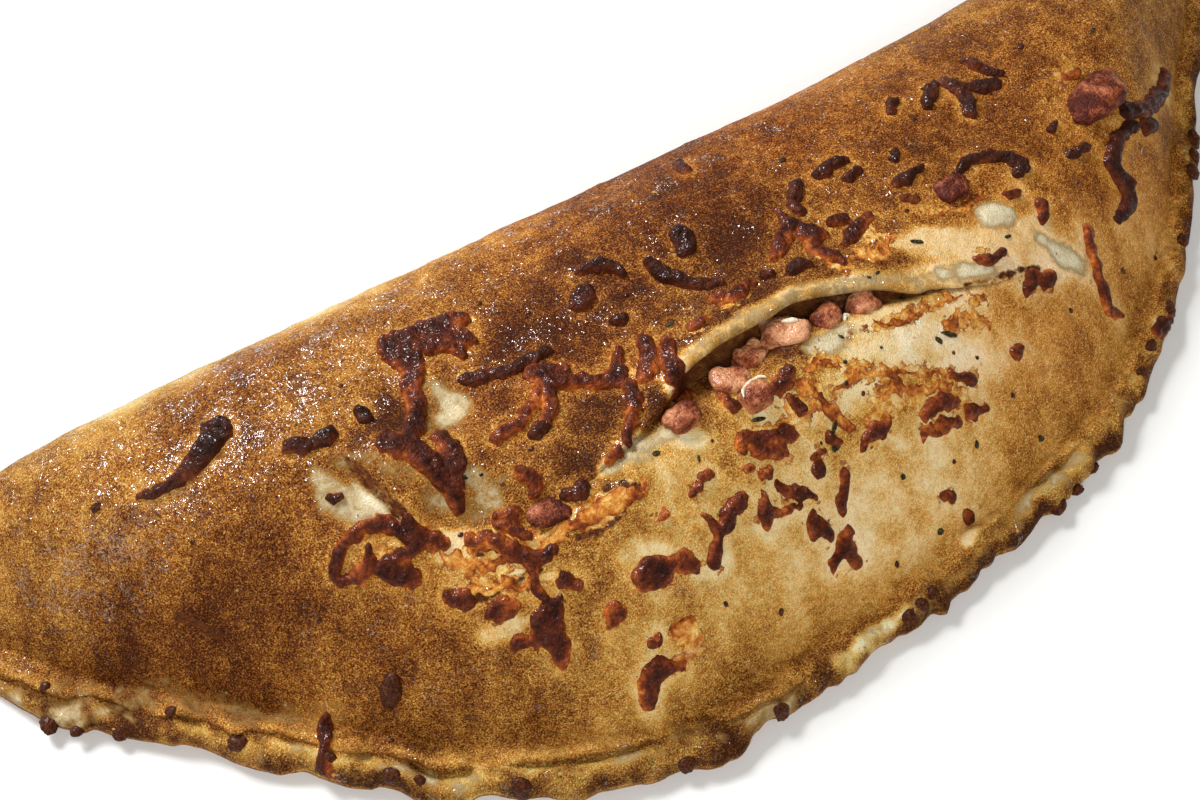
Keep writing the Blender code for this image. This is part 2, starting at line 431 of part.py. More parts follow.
def shred(name, run, material):
    """A cheese shred: flattened rings along its run, half sunk in the crust, with a point at each end."""
    run = np.asarray(run, float)
    steps = np.concatenate([[0], np.cumsum(np.hypot(*np.diff(run[:, :2], axis=0).T))])
    length = steps[-1]
    count = max(3, min(7, int(round(length / SHRED_STEP)) + 2))
    share = np.linspace(0, 1, count)
    x, y, width = (through(steps, run[:, k], share * length) for k in (0, 1, 2))
    ahead = np.stack([np.gradient(x), np.gradient(y)]) / np.hypot(np.gradient(x), np.gradient(y))
    turn = np.arange(SHRED_SIDES) * 2 * np.pi / SHRED_SIDES
    half = width[:, None] / 2
    ring_x = x[:, None] - ahead[1][:, None] * half * np.cos(turn)
    ring_y = y[:, None] + ahead[0][:, None] * half * np.cos(turn)
    rise = (0.5 + 0.42 * width)[:, None] * np.clip(np.sin(turn), 0, 1) + 1.2 * np.clip(np.sin(turn), -1, 0)
    ring_z = top(ring_x, ring_y) + rise
    ends = [(x[k] + side * ahead[0][k] * width[k] * 0.45, y[k] + side * ahead[1][k] * width[k] * 0.45)
            for k, side in ((0, -1), (-1, 1))]
    points = [(*ends[0], float(top(*ends[0])))]
    points += np.stack([ring_x, ring_y, ring_z], -1).reshape(-1, 3).tolist()
    points += [(*ends[1], float(top(*ends[1])))]
    return new_object(name, points, ring_faces(count, SHRED_SIDES), material)


def shred_size(run):
    """Area that a shred covers, by which the largest are chosen."""
    run = np.asarray(run, float)
    return (np.hypot(*np.diff(run[:, :2], axis=0).T).sum() + run[:, 2].mean()) * run[:, 2].mean()


def clear_of_ham(run):
    """Whether a shred stays clear of every piece of ham, so that the two never cross."""
    return all(np.hypot(x - ham[0], y - ham[1]) > (ham[2] + ham[3]) / 4 + width / 2 + SHRED_CLEARANCE
               for x, y, width in run for ham in HAM)


def ham_piece(name, place, number, material, grow=0.0, sides=10, rings=5):
    """A rounded dice with uneven sides: a box-like ball with a few random swells, grown by a clearance."""
    x, y, length, width, height, turn, share = place
    draw = np.random.default_rng(SEED + 100 + number)
    latitude = np.radians(np.linspace(-90, 90, rings + 2)[1:-1])[:, None]
    around = np.linspace(0, 2 * np.pi, sides, endpoint=False)[None, :]
    out, up = np.cos(latitude) * np.ones_like(around), np.sin(latitude) * np.ones_like(around)
    aim = np.stack([out * np.cos(around), out * np.sin(around), up])
    box = (np.abs(aim) ** 3.2).sum(0) ** (-1 / 3.2)
    swell = 0.0
    for _ in range(4):
        size, tightness = draw.uniform(0.03, 0.07), draw.uniform(1.5, 3.5)
        across = (aim * draw.normal(size=(3, 1, 1))).sum(0)
        swell = swell + size * np.cos(tightness * across + draw.uniform(0, 6))
    ball = aim * box * (0.92 + swell)
    poles = np.array([[0, 0, -0.9], [0, 0, 0.9]])
    half = np.array([length, width, height]) / 2 + grow
    body = np.concatenate([poles[:1], ball.reshape(3, -1).T, poles[1:]]) * half
    turn = np.radians(turn)
    spun = body @ np.array([[np.cos(turn), np.sin(turn), 0], [-np.sin(turn), np.cos(turn), 0], [0, 0, 1]])
    lift = float(top(x, y)) + (share - 0.5) * height
    return new_object(name, spun + (x, y, lift), ring_faces(rings, sides), material)


def combine(body, tools, operation):
    """Joins a list of closed solids to the body, or cuts them from it, and removes them."""
    group = bpy.data.collections.new("tools")
    bpy.context.scene.collection.children.link(group)
    for tool in tools:
        bpy.context.scene.collection.objects.unlink(tool)
        group.objects.link(tool)
    step = body.modifiers.new(operation.title(), "BOOLEAN")
    step.operation = operation
    step.operand_type = "COLLECTION"
    step.collection = group
    step.solver = "EXACT"
    step.use_self = operation == "UNION"
    bpy.context.view_layer.objects.active = body
    with bpy.context.temp_override(object=body, active_object=body):
        bpy.ops.object.modifier_apply(modifier=step.name)
    for tool in tools:
        bpy.data.objects.remove(tool)
    bpy.data.collections.remove(group)


def keep_main_shell(body):
    """Drops loose scraps and fills sealed hollows: only the shell with the most faces stays."""
    shell = bmesh.new()
    shell.from_mesh(body.data)
    waiting = set(shell.faces)
    shells = []
    while waiting:
        found, edge_of = [], [waiting.pop()]
        while edge_of:
            face = edge_of.pop()
            found.append(face)
            for line in face.edges:
                for neighbour in line.link_faces:
                    if neighbour in waiting:
                        waiting.remove(neighbour)
                        edge_of.append(neighbour)
        shells.append(found)
    shells.sort(key=len)
    scraps = [face for found in shells[:-1] for face in found]
    bmesh.ops.delete(shell, geom=scraps, context="FACES")
    shell.to_mesh(body.data)
    shell.free()
    body.data.shade_smooth()


def build():
    """Makes the crust with its fused shreds, then the ham pieces in their pockets."""
    for old in list(bpy.data.objects):
        bpy.data.objects.remove(old)
    crust_finish = finish("baked_crust", (0.34, 0.15, 0.045), 0.45)
    ham_finish = finish("ham", (0.36, 0.14, 0.09), 0.5)

    crust = crust_body(crust_finish)
    pockets = [ham_piece(f"pocket_{k:02d}", place, k, ham_finish, HAM_CLEARANCE)
               for k, place in enumerate(HAM)]
    clear = [run for run in CHARRED + BROWNED + MELTED if clear_of_ham(run)]
    runs = sorted(clear, key=shred_size, reverse=True)[:FUSED_SHREDS]
    shreds = [shred(f"shred_{k:02d}", run, crust_finish) for k, run in enumerate(runs)]
    combine(crust, shreds, "UNION")
    combine(crust, pockets, "DIFFERENCE")
    keep_main_shell(crust)
    for k, place in enumerate(HAM):
        ham_piece(f"ham_{k + 1:02d}", place, k, ham_finish)


build()
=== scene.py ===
"""Dresses the panzerotto: crust, cheese, ham, herbs and crumbs, then a floor, lights and a camera.

Tables and shape functions are in millimetres, in the part's own frame, and meshes are written in metres. The
crust is one surface of two parameters. All that lies on it is placed by the same function, top().
"""

import bpy
import numpy as np
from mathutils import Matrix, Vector


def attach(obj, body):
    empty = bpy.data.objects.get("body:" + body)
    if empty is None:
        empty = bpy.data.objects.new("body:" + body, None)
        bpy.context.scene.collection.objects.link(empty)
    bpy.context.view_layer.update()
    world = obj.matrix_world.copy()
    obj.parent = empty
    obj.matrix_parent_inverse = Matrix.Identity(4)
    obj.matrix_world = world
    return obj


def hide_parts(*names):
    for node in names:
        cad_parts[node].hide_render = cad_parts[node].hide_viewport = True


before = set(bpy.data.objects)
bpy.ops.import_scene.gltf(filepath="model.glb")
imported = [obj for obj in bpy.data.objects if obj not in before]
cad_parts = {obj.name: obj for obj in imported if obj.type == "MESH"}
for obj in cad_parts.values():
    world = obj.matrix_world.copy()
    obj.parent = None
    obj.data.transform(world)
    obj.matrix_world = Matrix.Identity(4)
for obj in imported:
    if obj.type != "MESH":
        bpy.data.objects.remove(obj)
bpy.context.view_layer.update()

MM = 0.001
SEED = 41

# The outline in plan, read at stations every 15 degrees: x = -HALF_LENGTH * cos(angle).
HALF_LENGTH = 157.5
STATIONS = np.radians(np.arange(0.0, 181.0, 15.0))
LIP_EDGE = (33.5, 24.5, 3.5, -20, -46.5, -61.5, -57.5, -50.5, -36, -9, 22.5, 40.5, 47.5)
FOLD_EDGE = (33.5, 43.5, 49.5, 50.5, 51, 51, 51.5, 52.5, 57, 61.5, 62, 58.5, 47.5)
LIP_WIDTH = (5, 7, 8, 9, 9, 9, 8.5, 8, 7, 6, 5, 5, 5)

# The flat lip: its height, and how far in from its edge it rounds over.
LIP_HEIGHT = 6.0
LIP_ROUNDING = 2.5
# The dome over the filling: its height, and how far in from the lip and from the fold it rises. With t from 0
# to 1 over that way, it rises from the lip as 1 - (1 - t)^FRONT_POWER and from the fold as
# (1 - (1 - t)^FOLD_POWER)^FOLD_ROUNDING.
DOME_HEIGHT = 46.0
FRONT_SLOPE, FRONT_POWER = 46.0, 2.4
FOLD_SLOPE, FOLD_POWER, FOLD_ROUNDING = 33.0, 2.1, 0.52
# The share of the dome's height that stands already at the fold.
FOLD_SHARE = 0.28
# Towards the right end the dome gets lower, by a share of its height, and its front slope shorter, each
# between two places along x.
RIGHT_DROP = 0.28
RIGHT_DROP_FROM, RIGHT_DROP_TO = 10.0, 120.0
FRONT_SLOPE_RIGHT = 24.0
SLOPE_CHANGE_FROM, SLOPE_CHANGE_TO = 60.0, 130.0
# How far the fold's side and the lip's edge turn in at the floor, at most a share of the section's width.
UNDERCUT, UNDERCUT_SHARE = 12.0, 0.12
LIP_INSET, LIP_INSET_SHARE = 2.0, 0.06
# Broad swells of the crust: size, height.
BROAD_SWELLS = ((27, 1.3), (10, 0.5))

# Broad lumps and dents of the crust: x, y, reach along x, reach along y, rise.
LUMPS = (
    (-97, 11, 15, 9, 2), (-67, -1, 5.5, 9, 1.8), (-54, 6, 5, 4.5, -2.6), (-60, -13, 6, 4, -1.6),
    (-47, -17, 6, 4, -1.8), (-33, 2, 12, 8, 1.6), (-30, -8, 7, 5, 1.2), (0, 22, 26, 10, 1.4),
    (20, -21, 14, 7, 1.6), (15, -24.5, 4, 3, -1.2), (-34, -32, 6, 3, -1.2), (62, -2.5, 4.5, 3.5, 1),
    (43, -7, 6, 3, -1), (-84, -25, 2.2, 1.8, 0.9), (100, 34, 14, 9, 1.2), (-118, 24, 12, 6, 1.2),
    (-78, 34, 11, 8, 1.6), (-10, -44, 26, 6, 1),
)

# The main slit: x, y of the raised flap's edge, width and depth of the gap before it, the flap's lift.
# Beyond the slit the same line is the seam of the mesh and has no depth.
SLIT = np.array((
    (-157.5, 33.5, 1, 0, 0), (-120, 14, 1, 0, 0), (-85, -6, 1, 0, 0), (-60, -14, 1, 0, 0),
    (-42, -18, 1.5, 0.3, 0.3), (-30, -16, 3, 0.8, 0.3), (-20, -12, 5, 2.2, 0.8), (-13, -7.6, 8.4, 4.2, 2.4),
    (-5, -5.9, 11.6, 5, 3), (2, -5.5, 10.2, 5, 3), (7, -5.4, 8.8, 5, 3), (12, -4.5, 8.4, 4.8, 3),
    (19, -5.4, 7.2, 4.3, 2.7), (25, -6.5, 6.2, 3.8, 2.3), (30, -7.8, 5.2, 3.2, 2),
    (35, -9.8, 3.2, 2.4, 1.6), (40, -10.9, 1.6, 1.5, 1), (50, -13, 1, 0.8, 0.5), (60, -13.3, 0.8, 0.3, 0.2),
    (70, -12.5, 0.6, 0, 0), (95, 1, 1, 0, 0), (125, 24, 1, 0, 0), (157.5, 47.5, 1, 0, 0),
))
# The length of a cut's face in plan, and how far behind it the flap sinks back.
FLAP_THICKNESS = 0.8
FLAP_REACH = 8.0

# The short slits: start, end, lift of the flap on the right side, depth on the left side, width.
SHORT_SLITS = (
    ((-75.5, 7), (-70, -10.5), 2.2, 1.6, 6), ((-113, 5), (-107, -2), 0.7, 0.8, 2),
)
# The share of their length over which they close at each end, and how open the ends stay.
SHORT_SLIT_FADE, SHORT_SLIT_ENDS = 0.3, 0.3

# The groove between lip and dome, where the seal shows open: x from, x to.
OPEN_SEAMS = ((-146.0, -128.0), (-111.0, -101.0), (-88.0, -79.0), (-67.0, -47.0), (28.0, 60.0))
SEAM_DEPTH, SEAM_WIDTH, SEAM_FADE = 0.56, 1.6, 4.0
# The dome's lower edge laps over the lip: x, distance from the lip's edge, how far it stands open.
OVERLAP = np.array((
    (-157.5, 3, 0), (-150, 3, 0.2), (-144, 3, 0.9), (-138, 3.2, 1), (-134.5, 4.3, 0.4), (-130, 5.5, 0.8),
    (-126.5, 4.6, 0.1), (-122, 4, 0.5), (-118.5, 4.7, 0.9), (-115, 4.6, 0.2), (-112, 3.8, 0.9),
    (-109, 5, 0.3), (-105, 5.2, 0.9), (-101.5, 4.7, 0.6), (-99, 4.6, 0.1), (-95.5, 4.2, 0.7),
    (-92.5, 5.4, 0.9), (-90, 5.4, 0.2), (-87, 5.3, 1), (-82, 4.3, 1.2), (-78.5, 4.6, 0.9), (-76, 4.8, 0.1),
    (-68, 5.3, 0.6), (-63, 5.8, 1), (-60.5, 6, 0.4), (-57, 6.3, 1.1), (-52, 6.6, 0.7), (-47, 6.6, 0.5),
    (-41, 7.2, 0.2), (-35, 6.8, 0.1), (-28, 4.2, 0.4), (-20, 2.9, 0.6), (-12, 3.2, 0.1), (5, 3.6, 0.1),
    (20, 3.6, 0.2), (30, 4.5, 0.1), (44, 5.6, 0.4), (51, 5.6, 0.8), (57, 4.9, 0.7), (62, 4.2, 0.2),
    (75, 4, 0.1), (110, 4, 0.1), (157.5, 3, 0),
))
OVERLAP_LIFT, OVERLAP_REACH = 1.5, 4.5
# The groove before that edge: how far from it, how deep, how wide.
GROOVE_WIDTH, GROOVE_DEPTH, GROOVE_SPREAD = 0.9, 1.1, 0.8
# Bulges and dents of the lip's edge: x, reach, outward push.
LIP_BULGES = (
    (-140, 4.5, 3.4), (-126, 5, -0.6), (-118.5, 4, -1.8), (-111, 4, 1.6), (-98, 3, 1.2), (-84, 4, 1),
    (-72, 5, -0.8), (-60, 5, 0.9), (-33, 5.5, 1.4), (-22, 3, -1.2), (-5, 7, 0.7), (14, 3, 1), (19, 2, 2.2),
    (25, 3, 1.1), (33, 3, -0.4), (39, 3.5, 1.2), (51.5, 2.6, 2.4), (57, 3, 1), (63, 3, 1.2),
    (70.2, 2.4, 2.6), (86, 4, -0.6),
)

# The ragged lip: push, length of its waves, row and seed of their noise. It fades over a distance inwards.
LIP_WAVES = ((0.66, 4.5, 0.0, SEED + 2), (0.385, 11.0, 9.0, SEED + 3), (0.7, 2.2, 20.0, SEED + 5))
LIP_WAVES_REACH = 2.5

# Fine relief that only this surface has: swells, blisters above a share of their noise, pillows and crumbs.
FINE_SWELLS = ((4.6, 0.20), (2.2, 0.11))
BLISTER_SIZE, BLISTER_SHARE, BLISTER_HEIGHT = 2.7, 0.42, 0.55
PILLOW_LENGTH, PILLOW_HEIGHT = 8.0, 1.5
CRUMBLE_SIZE, CRUMBLE_HEIGHT = 2.7, 0.8

# How finely the crust is meshed: sections along x, crowded at the ends by a share, and rows of each section.
CRUST_STATIONS, END_CROWDING = 424, 0.4
BACK_ROWS, RIM_ROWS, FACE_ROWS, FRONT_ROWS = 100, 8, 16, 58
APPROACH_ROWS, GROOVE_ROWS, LIP_ROWS = 3, 9, 14
UNDER_LIP_ROWS, FLAT_ROWS, UNDERCUT_ROWS = 7, 6, 8
# Rows crowd towards the fold and the lip's edge by this power.
ROW_CROWDING = 1.5
# Where a section is short, the slit's rim and face, the groove and the overlap are at most these shares.
RIM_MOST, FACE_MOST, GROOVE_MOST, LAP_MOST = 0.1, 0.1, 0.04, 0.35
# The rolled rims: reach behind the edge, radius and hollow of the flap's, radius and hollow of the overlap's.
RIM_REACH, RIM_RADIUS, RIM_HOLLOW = 1.5, 1.3, 6.0
GROOVE_RADIUS, GROOVE_HOLLOW = 0.7, 0.9
# The share of a rim's rows that go round it, how far round, its most radius as a share of the step's height,
# and how low the curve back bends, as a share of the way down.
ROLL_SHARE, ROLL_TURN, ROLL_MOST, ROLL_BEND = 0.6, np.radians(165), 0.45, 0.7
# Cheese: the mesh's step, how far in its edge rounds over, how far out it dips, its depth under the crust.
CHEESE_STEP, CHEESE_SHOULDER, CHEESE_SKIRT, CHEESE_ROOT = 0.24, 1.3, 0.5, 1.1
# The room round the runs, the slope of the dip, how far in its colour changes, the size of toasted patches.
CHEESE_MARGIN, CHEESE_DIP, CHEESE_RIM, TOAST_SIZE = 5.0, 1.2, 1.4, 5.5
# Its wavering outline and its lumps: size, height.
CHEESE_WAVER = ((1.9, 0.45), (0.9, 0.25))
CHEESE_LUMPS = ((2.3, 0.30), (1.1, 0.22))
# Ham: rings and sides of the mesh, and how square a dice is, from 2, a ball, upwards.
HAM_RINGS, HAM_SIDES, HAM_SQUARENESS = 40, 60, 3.2
# Its swells: how many, and from which to which size and tightness.
HAM_SWELLS, SWELL_SIZE, SWELL_TIGHTNESS = 4, (0.03, 0.07), (1.5, 3.5)
# White threads: sides of the tube, spacing of its rings, length of its pointed tips.
THREAD_SIDES, THREAD_SPACING, THREAD_TIP = 8, 0.35, 0.2


# ---------------------------------------------------------------- shape functions


def through(knots, values, where):
    """A smooth curve through values at knots: cubic pieces that share their slope at each knot."""
    knots = np.asarray(knots, float)
    values = np.asarray(values, float)
    slopes = np.gradient(values, knots)
    where = np.clip(where, knots[0], knots[-1])
    piece = np.clip(np.searchsorted(knots, where, side="right") - 1, 0, len(knots) - 2)
    gap = knots[piece + 1] - knots[piece]
    t = (where - knots[piece]) / gap
    start = (1 + 2 * t) * (1 - t) ** 2 * values[piece] + t * (1 - t) ** 2 * gap * slopes[piece]
    end = t**2 * (3 - 2 * t) * values[piece + 1] + t**2 * (t - 1) * gap * slopes[piece + 1]
    return start + end


def column_at(table, column, x):
    """A column of a table whose first column is x, as a smooth curve, at x."""
    return through(table[:, 0], table[:, column], x)


def ease(value):
    """0 below 0, 1 above 1 and a soft step between."""
    value = np.clip(value, 0.0, 1.0)
    return value * value * (3 - 2 * value)


def bell(value):
    """1 at 0 and less to both sides: exp(-value^2)."""
    return np.exp(-(value**2))


def noise(x, y, size, seed):
    """Random heights from -1 to 1 at the corners of a square lattice, blended softly between them."""
    lattice = np.random.default_rng(seed).uniform(-1, 1, (97, 89))
    column, row = np.floor(x / size).astype(int), np.floor(y / size).astype(int)
    across, along = ease(x / size - column), ease(y / size - row)
    corner = [[lattice[(column + i) % 97, (row + j) % 89] for j in (0, 1)] for i in (0, 1)]
    left = corner[0][0] * (1 - along) + corner[0][1] * along
    right = corner[1][0] * (1 - along) + corner[1][1] * along
    return left * (1 - across) + right * across


def noise_3d(points, size, seed):
    """Random values from -1 to 1 at the corners of a cubic lattice, blended softly between them."""
    lattice = np.random.default_rng(seed).uniform(-1, 1, (31, 29, 27))
    cell = np.floor(points / size).astype(int)
    share = ease(points / size - cell)
    total = 0.0
    for corner in np.ndindex(2, 2, 2):
        index = [(cell[..., k] + corner[k]) % lattice.shape[k] for k in range(3)]
        weight = np.prod([share[..., k] if corner[k] else 1 - share[..., k] for k in range(3)], axis=0)
        total = total + weight * lattice[tuple(index)]
    return total


def swells(x, y, table, seed):
    """Sum of noises, one for each row of size and height, whose seeds count up from seed."""
    return sum(height * noise(x, y, size, seed + k) for k, (size, height) in enumerate(table))


def spots(x, y, table):
    """Sum of soft spots: x, y, reach along x, reach along y, amount."""
    return sum(amount * np.exp(-(((x - middle_x) / reach_x) ** 2) - ((y - middle_y) / reach_y) ** 2)
               for middle_x, middle_y, reach_x, reach_y, amount in table)


def outline_angle(x):
    """The outline's angle at x, from 0 at the left end to pi at the right end."""
    return np.arccos(np.clip(-x / HALF_LENGTH, -1, 1))


def edges(x):
    """The y of the lip's edge and of the fold's edge at x."""
    return through(STATIONS, LIP_EDGE, outline_angle(x)), through(STATIONS, FOLD_EDGE, outline_angle(x))


def distances(x, y):
    """How far a point lies inside the lip's edge and inside the fold's edge, measured square to them."""
    before, after = (np.clip(x + step, -HALF_LENGTH, HALF_LENGTH) for step in (-0.5, 0.5))
    lip, fold = edges(x)
    lip_slope, fold_slope = np.subtract(edges(after), edges(before)) / (after - before)
    return (y - lip) / np.hypot(1, lip_slope), (fold - y) / np.hypot(1, fold_slope)


def cut_step(behind):
    """The step at a cut's edge: 0 before its face and 1 behind it."""
    return ease(1 + behind / FLAP_THICKNESS)


def slit_relief(x, y):
    """The main slit: a lifted flap behind the edge, a steep cut face, and a gap that rises again in front."""
    edge, width, depth, lift = (column_at(SLIT, column, x) for column in (1, 2, 3, 4))
    behind = y - edge
    flap = lift * np.exp(-np.maximum(behind, 0) / FLAP_REACH) * cut_step(behind)
    gap = depth * (1 - cut_step(behind)) * ease((behind + width) / (0.9 * width))
    return flap - gap


def short_slit_relief(x, y, start, end, lift, depth, width):
    """A short cut from start to end: its right side stands up, its left side is a torn hollow."""
    run = np.subtract(end, start)
    length = np.hypot(*run)
    along = ((x - start[0]) * run[0] + (y - start[1]) * run[1]) / length**2
    right = ((y - start[1]) * run[0] - (x - start[0]) * run[1]) / length
    reach = ease(np.minimum(along, 1 - along) / SHORT_SLIT_FADE + SHORT_SLIT_ENDS)
    flap = lift * np.exp(-np.maximum(right, 0) / width) * cut_step(right)
    hollow = depth * ease(1 + right / width) * (1 - cut_step(right))
    return reach * (flap - hollow)


def open_seam(x):
    """How far the seal stands open at x, from 0 to 1."""
    return sum(ease((x - start) / SEAM_FADE) * ease((end - x) / SEAM_FADE) for start, end in OPEN_SEAMS)


def overlap(x, inside):
    """Distance inside the edge that laps over the lip, and how far that edge stands open."""
    return inside - column_at(OVERLAP, 1, x), column_at(OVERLAP, 2, x)


def overlap_relief(x, inside):
    """The dome's lower edge: it stands above the lip, sinks back inwards, and has a groove before it."""
    behind, stands_open = overlap(x, inside)
    step = OVERLAP_LIFT * np.exp(-np.maximum(behind, 0) / OVERLAP_REACH) * ease(1 + behind / GROOVE_WIDTH)
    return stands_open * (step - GROOVE_DEPTH * bell((behind + GROOVE_WIDTH) / GROOVE_SPREAD))


def fine_relief(x, y, inside, lip_width):
    """Small swells and blisters all over, and pillows between the pinches of the lip, which is crumbly."""
    blisters = BLISTER_HEIGHT * np.maximum(noise(x, y, BLISTER_SIZE, SEED + 13) - BLISTER_SHARE, 0)
    across = np.clip(inside / lip_width, 0, 1)
    pillow = PILLOW_HEIGHT * noise(x, 40.0, PILLOW_LENGTH, SEED + 4) * np.sin(np.pi * across) ** 0.8
    crumble = CRUMBLE_HEIGHT * noise(x, y, CRUMBLE_SIZE, SEED + 15) * ease((lip_width + 0.5 - inside) / 2)
    return swells(x, y, FINE_SWELLS, SEED + 10) + blisters + pillow + crumble


def top(x, y):
    """Height of the crust's upper side: the rounded lip, plus the rest of the dome's height times its slope
    from the lip and times its slope from the fold.

    Swells, slits, lumps and dents are added, which fade out on the lip and at the fold, then the seam's
    groove, the overlap and the fine relief."""
    x, y = np.asarray(x, float), np.asarray(y, float)
    inside, from_fold = distances(x, y)
    lip_width = through(STATIONS, LIP_WIDTH, outline_angle(x))
    to_right = ease((x - SLOPE_CHANGE_FROM) / (SLOPE_CHANGE_TO - SLOPE_CHANGE_FROM))
    reach = FRONT_SLOPE + (FRONT_SLOPE_RIGHT - FRONT_SLOPE) * to_right
    height = DOME_HEIGHT * (1 - RIGHT_DROP * ease((x - RIGHT_DROP_FROM) / (RIGHT_DROP_TO - RIGHT_DROP_FROM)))
    front = 1 - (1 - np.clip((inside - lip_width) / reach, 0, 1)) ** FRONT_POWER
    back = (1 - (1 - np.clip(from_fold / FOLD_SLOPE, 0, 1)) ** FOLD_POWER) ** FOLD_ROUNDING
    rounding = 0.5 + 0.5 * np.sqrt(1 - (1 - np.clip(inside / LIP_ROUNDING, 0, 1)) ** 2)
    dome = LIP_HEIGHT * rounding + (height - LIP_HEIGHT) * front * (FOLD_SHARE + (1 - FOLD_SHARE) * back)

    relief = swells(x, y, BROAD_SWELLS, SEED) + slit_relief(x, y) + spots(x, y, LUMPS)
    relief = relief + sum(short_slit_relief(x, y, *cut) for cut in SHORT_SLITS)
    fade = ease((inside - 0.6 * lip_width) / 8) * (0.25 + 0.75 * ease(from_fold / 14))
    groove = -SEAM_DEPTH * open_seam(x) * bell((inside - lip_width) / SEAM_WIDTH)
    fine = fine_relief(x, y, inside, lip_width) * ease(from_fold / 3)
    return dome + relief * fade + groove + overlap_relief(x, inside) + fine


def circles_along(run, spacing=0.6):
    """Points and radii along a run of x, y, width: circles so close that together they are a smooth band."""
    run = np.asarray(run, float)
    steps = np.concatenate([[0], np.cumsum(np.hypot(*np.diff(run[:, :2], axis=0).T))])
    share = np.linspace(0, steps[-1], max(2, int(steps[-1] / spacing) + 1))
    return [through(steps, run[:, k], share) for k in (0, 1)] + [through(steps, run[:, 2], share) / 2]


def outside(x, y, runs, reach=4.0, softness=0.3):
    """Distance outside the nearest run, negative inside it. Runs that meet flow together:
    -softness * log(sum of exp(-distance / softness))."""
    total = np.full(x.shape, np.exp(-reach / softness))
    for run in runs:
        along_x, along_y, radius = circles_along(run)
        far = reach + radius.max()
        near = (abs(x - (along_x.min() + along_x.max()) / 2) < far + np.ptp(along_x) / 2)
        near &= abs(y - (along_y.min() + along_y.max()) / 2) < far + np.ptp(along_y) / 2
        gap = np.hypot(x[near][:, None] - along_x, y[near][:, None] - along_y) - radius
        total[near] += np.exp(-gap.min(1) / softness)
    return -softness * np.log(total)


# ---------------------------------------------------------------- cheese, as runs of x, y, width

# Charred shreds are nearly black.
CHARRED = (
    ((-93, 23.5, 6), (-97, 21.3, 4.6), (-102, 20.4, 2.8), (-108, 21, 1.9), (-110.5, 22, 1.2)),
    ((-83, 12.5, 3.2), (-79, 11, 2.6), (-75.5, 11.8, 3.6)),
    ((-80.5, 1.2, 2), (-79, 0.9, 1.6)),
    ((-68.4, 13, 3.2), (-68.2, 11.8, 3)),
    ((-48.5, 10.6, 1.8), (-45.5, 9.3, 3), (-41, 8, 2.5), (-36, 8, 3), (-32.5, 9, 2.8)),
    ((-42.2, -6.2, 3.4), (-40.8, -5.8, 3)),
    ((-43, -18.2, 2), (-40.8, -19.2, 3.2), (-38.8, -19, 1.6)),
    ((-20.8, 15.6, 5), (-19.8, 16, 4.8)),
    ((-18, 21, 1.6), (-14.5, 20.6, 2.8), (-12.2, 18.6, 3), (-11.5, 16.6, 1.8)),
    ((-18, 8.4, 1.6), (-16.2, 8, 2.6)),
    ((-6, 16, 2.4), (-5, 12.5, 3), (-2.5, 9, 2.8), (1, 6, 2.5), (3.8, 5.2, 1.6)),
    ((2.2, 18, 4.4), (2, 15.4, 4.8)),
    ((13.3, 37, 2.6), (12.8, 34.5, 2.8)),
    ((11.4, 2.4, 2), (12.6, 2.2, 1.8)),
    ((15.5, 0, 1.6), (18, 1, 2.8), (19.8, 0.6, 2.2)),
    ((25.9, 15.2, 2.4), (26.4, 13.6, 2.6)),
    ((27.4, 17, 2.2), (29.8, 19.6, 3)),
    ((34.5, 20, 2.4), (38, 20.5, 3), (41.5, 20.8, 1.8)),
    ((39.2, 16.4, 2.2), (41.8, 17.6, 2.2)),
    ((47.4, 11, 2.8), (49.4, 11.3, 3)),
    ((51.4, 12, 1.8), (53.4, 12.2, 2.4)),
    ((50.4, 16.6, 1.8), (51.4, 18.4, 2)),
    ((46.4, 7.2, 1.6), (48.2, 6.2, 2.2)),
    ((57.6, 28.6, 2.6), (58.8, 30.4, 2.8)),
    ((65, 26.6, 2.4), (67.5, 29.4, 3.2), (69.4, 31, 2)),
    ((71.8, 31, 2.4), (73.2, 28.5, 3), (73.2, 25, 3), (72, 21.6, 2.8)),
    ((75.5, 28.6, 2.4), (78.2, 27.2, 3.4), (81.6, 26.6, 2.6)),
    ((80, 34.8, 2.2), (81.5, 31.6, 2.4), (84, 28.4, 1.5)),
    ((85.4, 12, 2), (86.6, 12.8, 1.8)),
    ((86, 5.4, 2), (90.6, 7, 2.2)),
    ((108.8, 9.4, 2.6), (111, 10.4, 2.8)),
    ((60, 8.6, 1.6), (63.2, 10.3, 2.6), (67.2, 10.2, 2.4), (71, 8.8, 2.8), (73.6, 6, 3.8), (71.6, 4.2, 2)),
    ((105, 12.2, 3.2), (110, 12.9, 2.9), (114, 14.4, 2.7), (118, 17, 2.5), (122.4, 20.4, 2.3),
     (125.6, 23.4, 1.6)),
    ((105.4, 9.5, 2.2), (101, 8, 2.5), (97.4, 5.4, 2.8), (95.6, 2.8, 3.6), (97, 0, 4)),
    ((97, 0.4, 3.8), (96.4, -3, 3.4), (93.6, -5, 2.4), (91.4, -6, 1.4)),
)
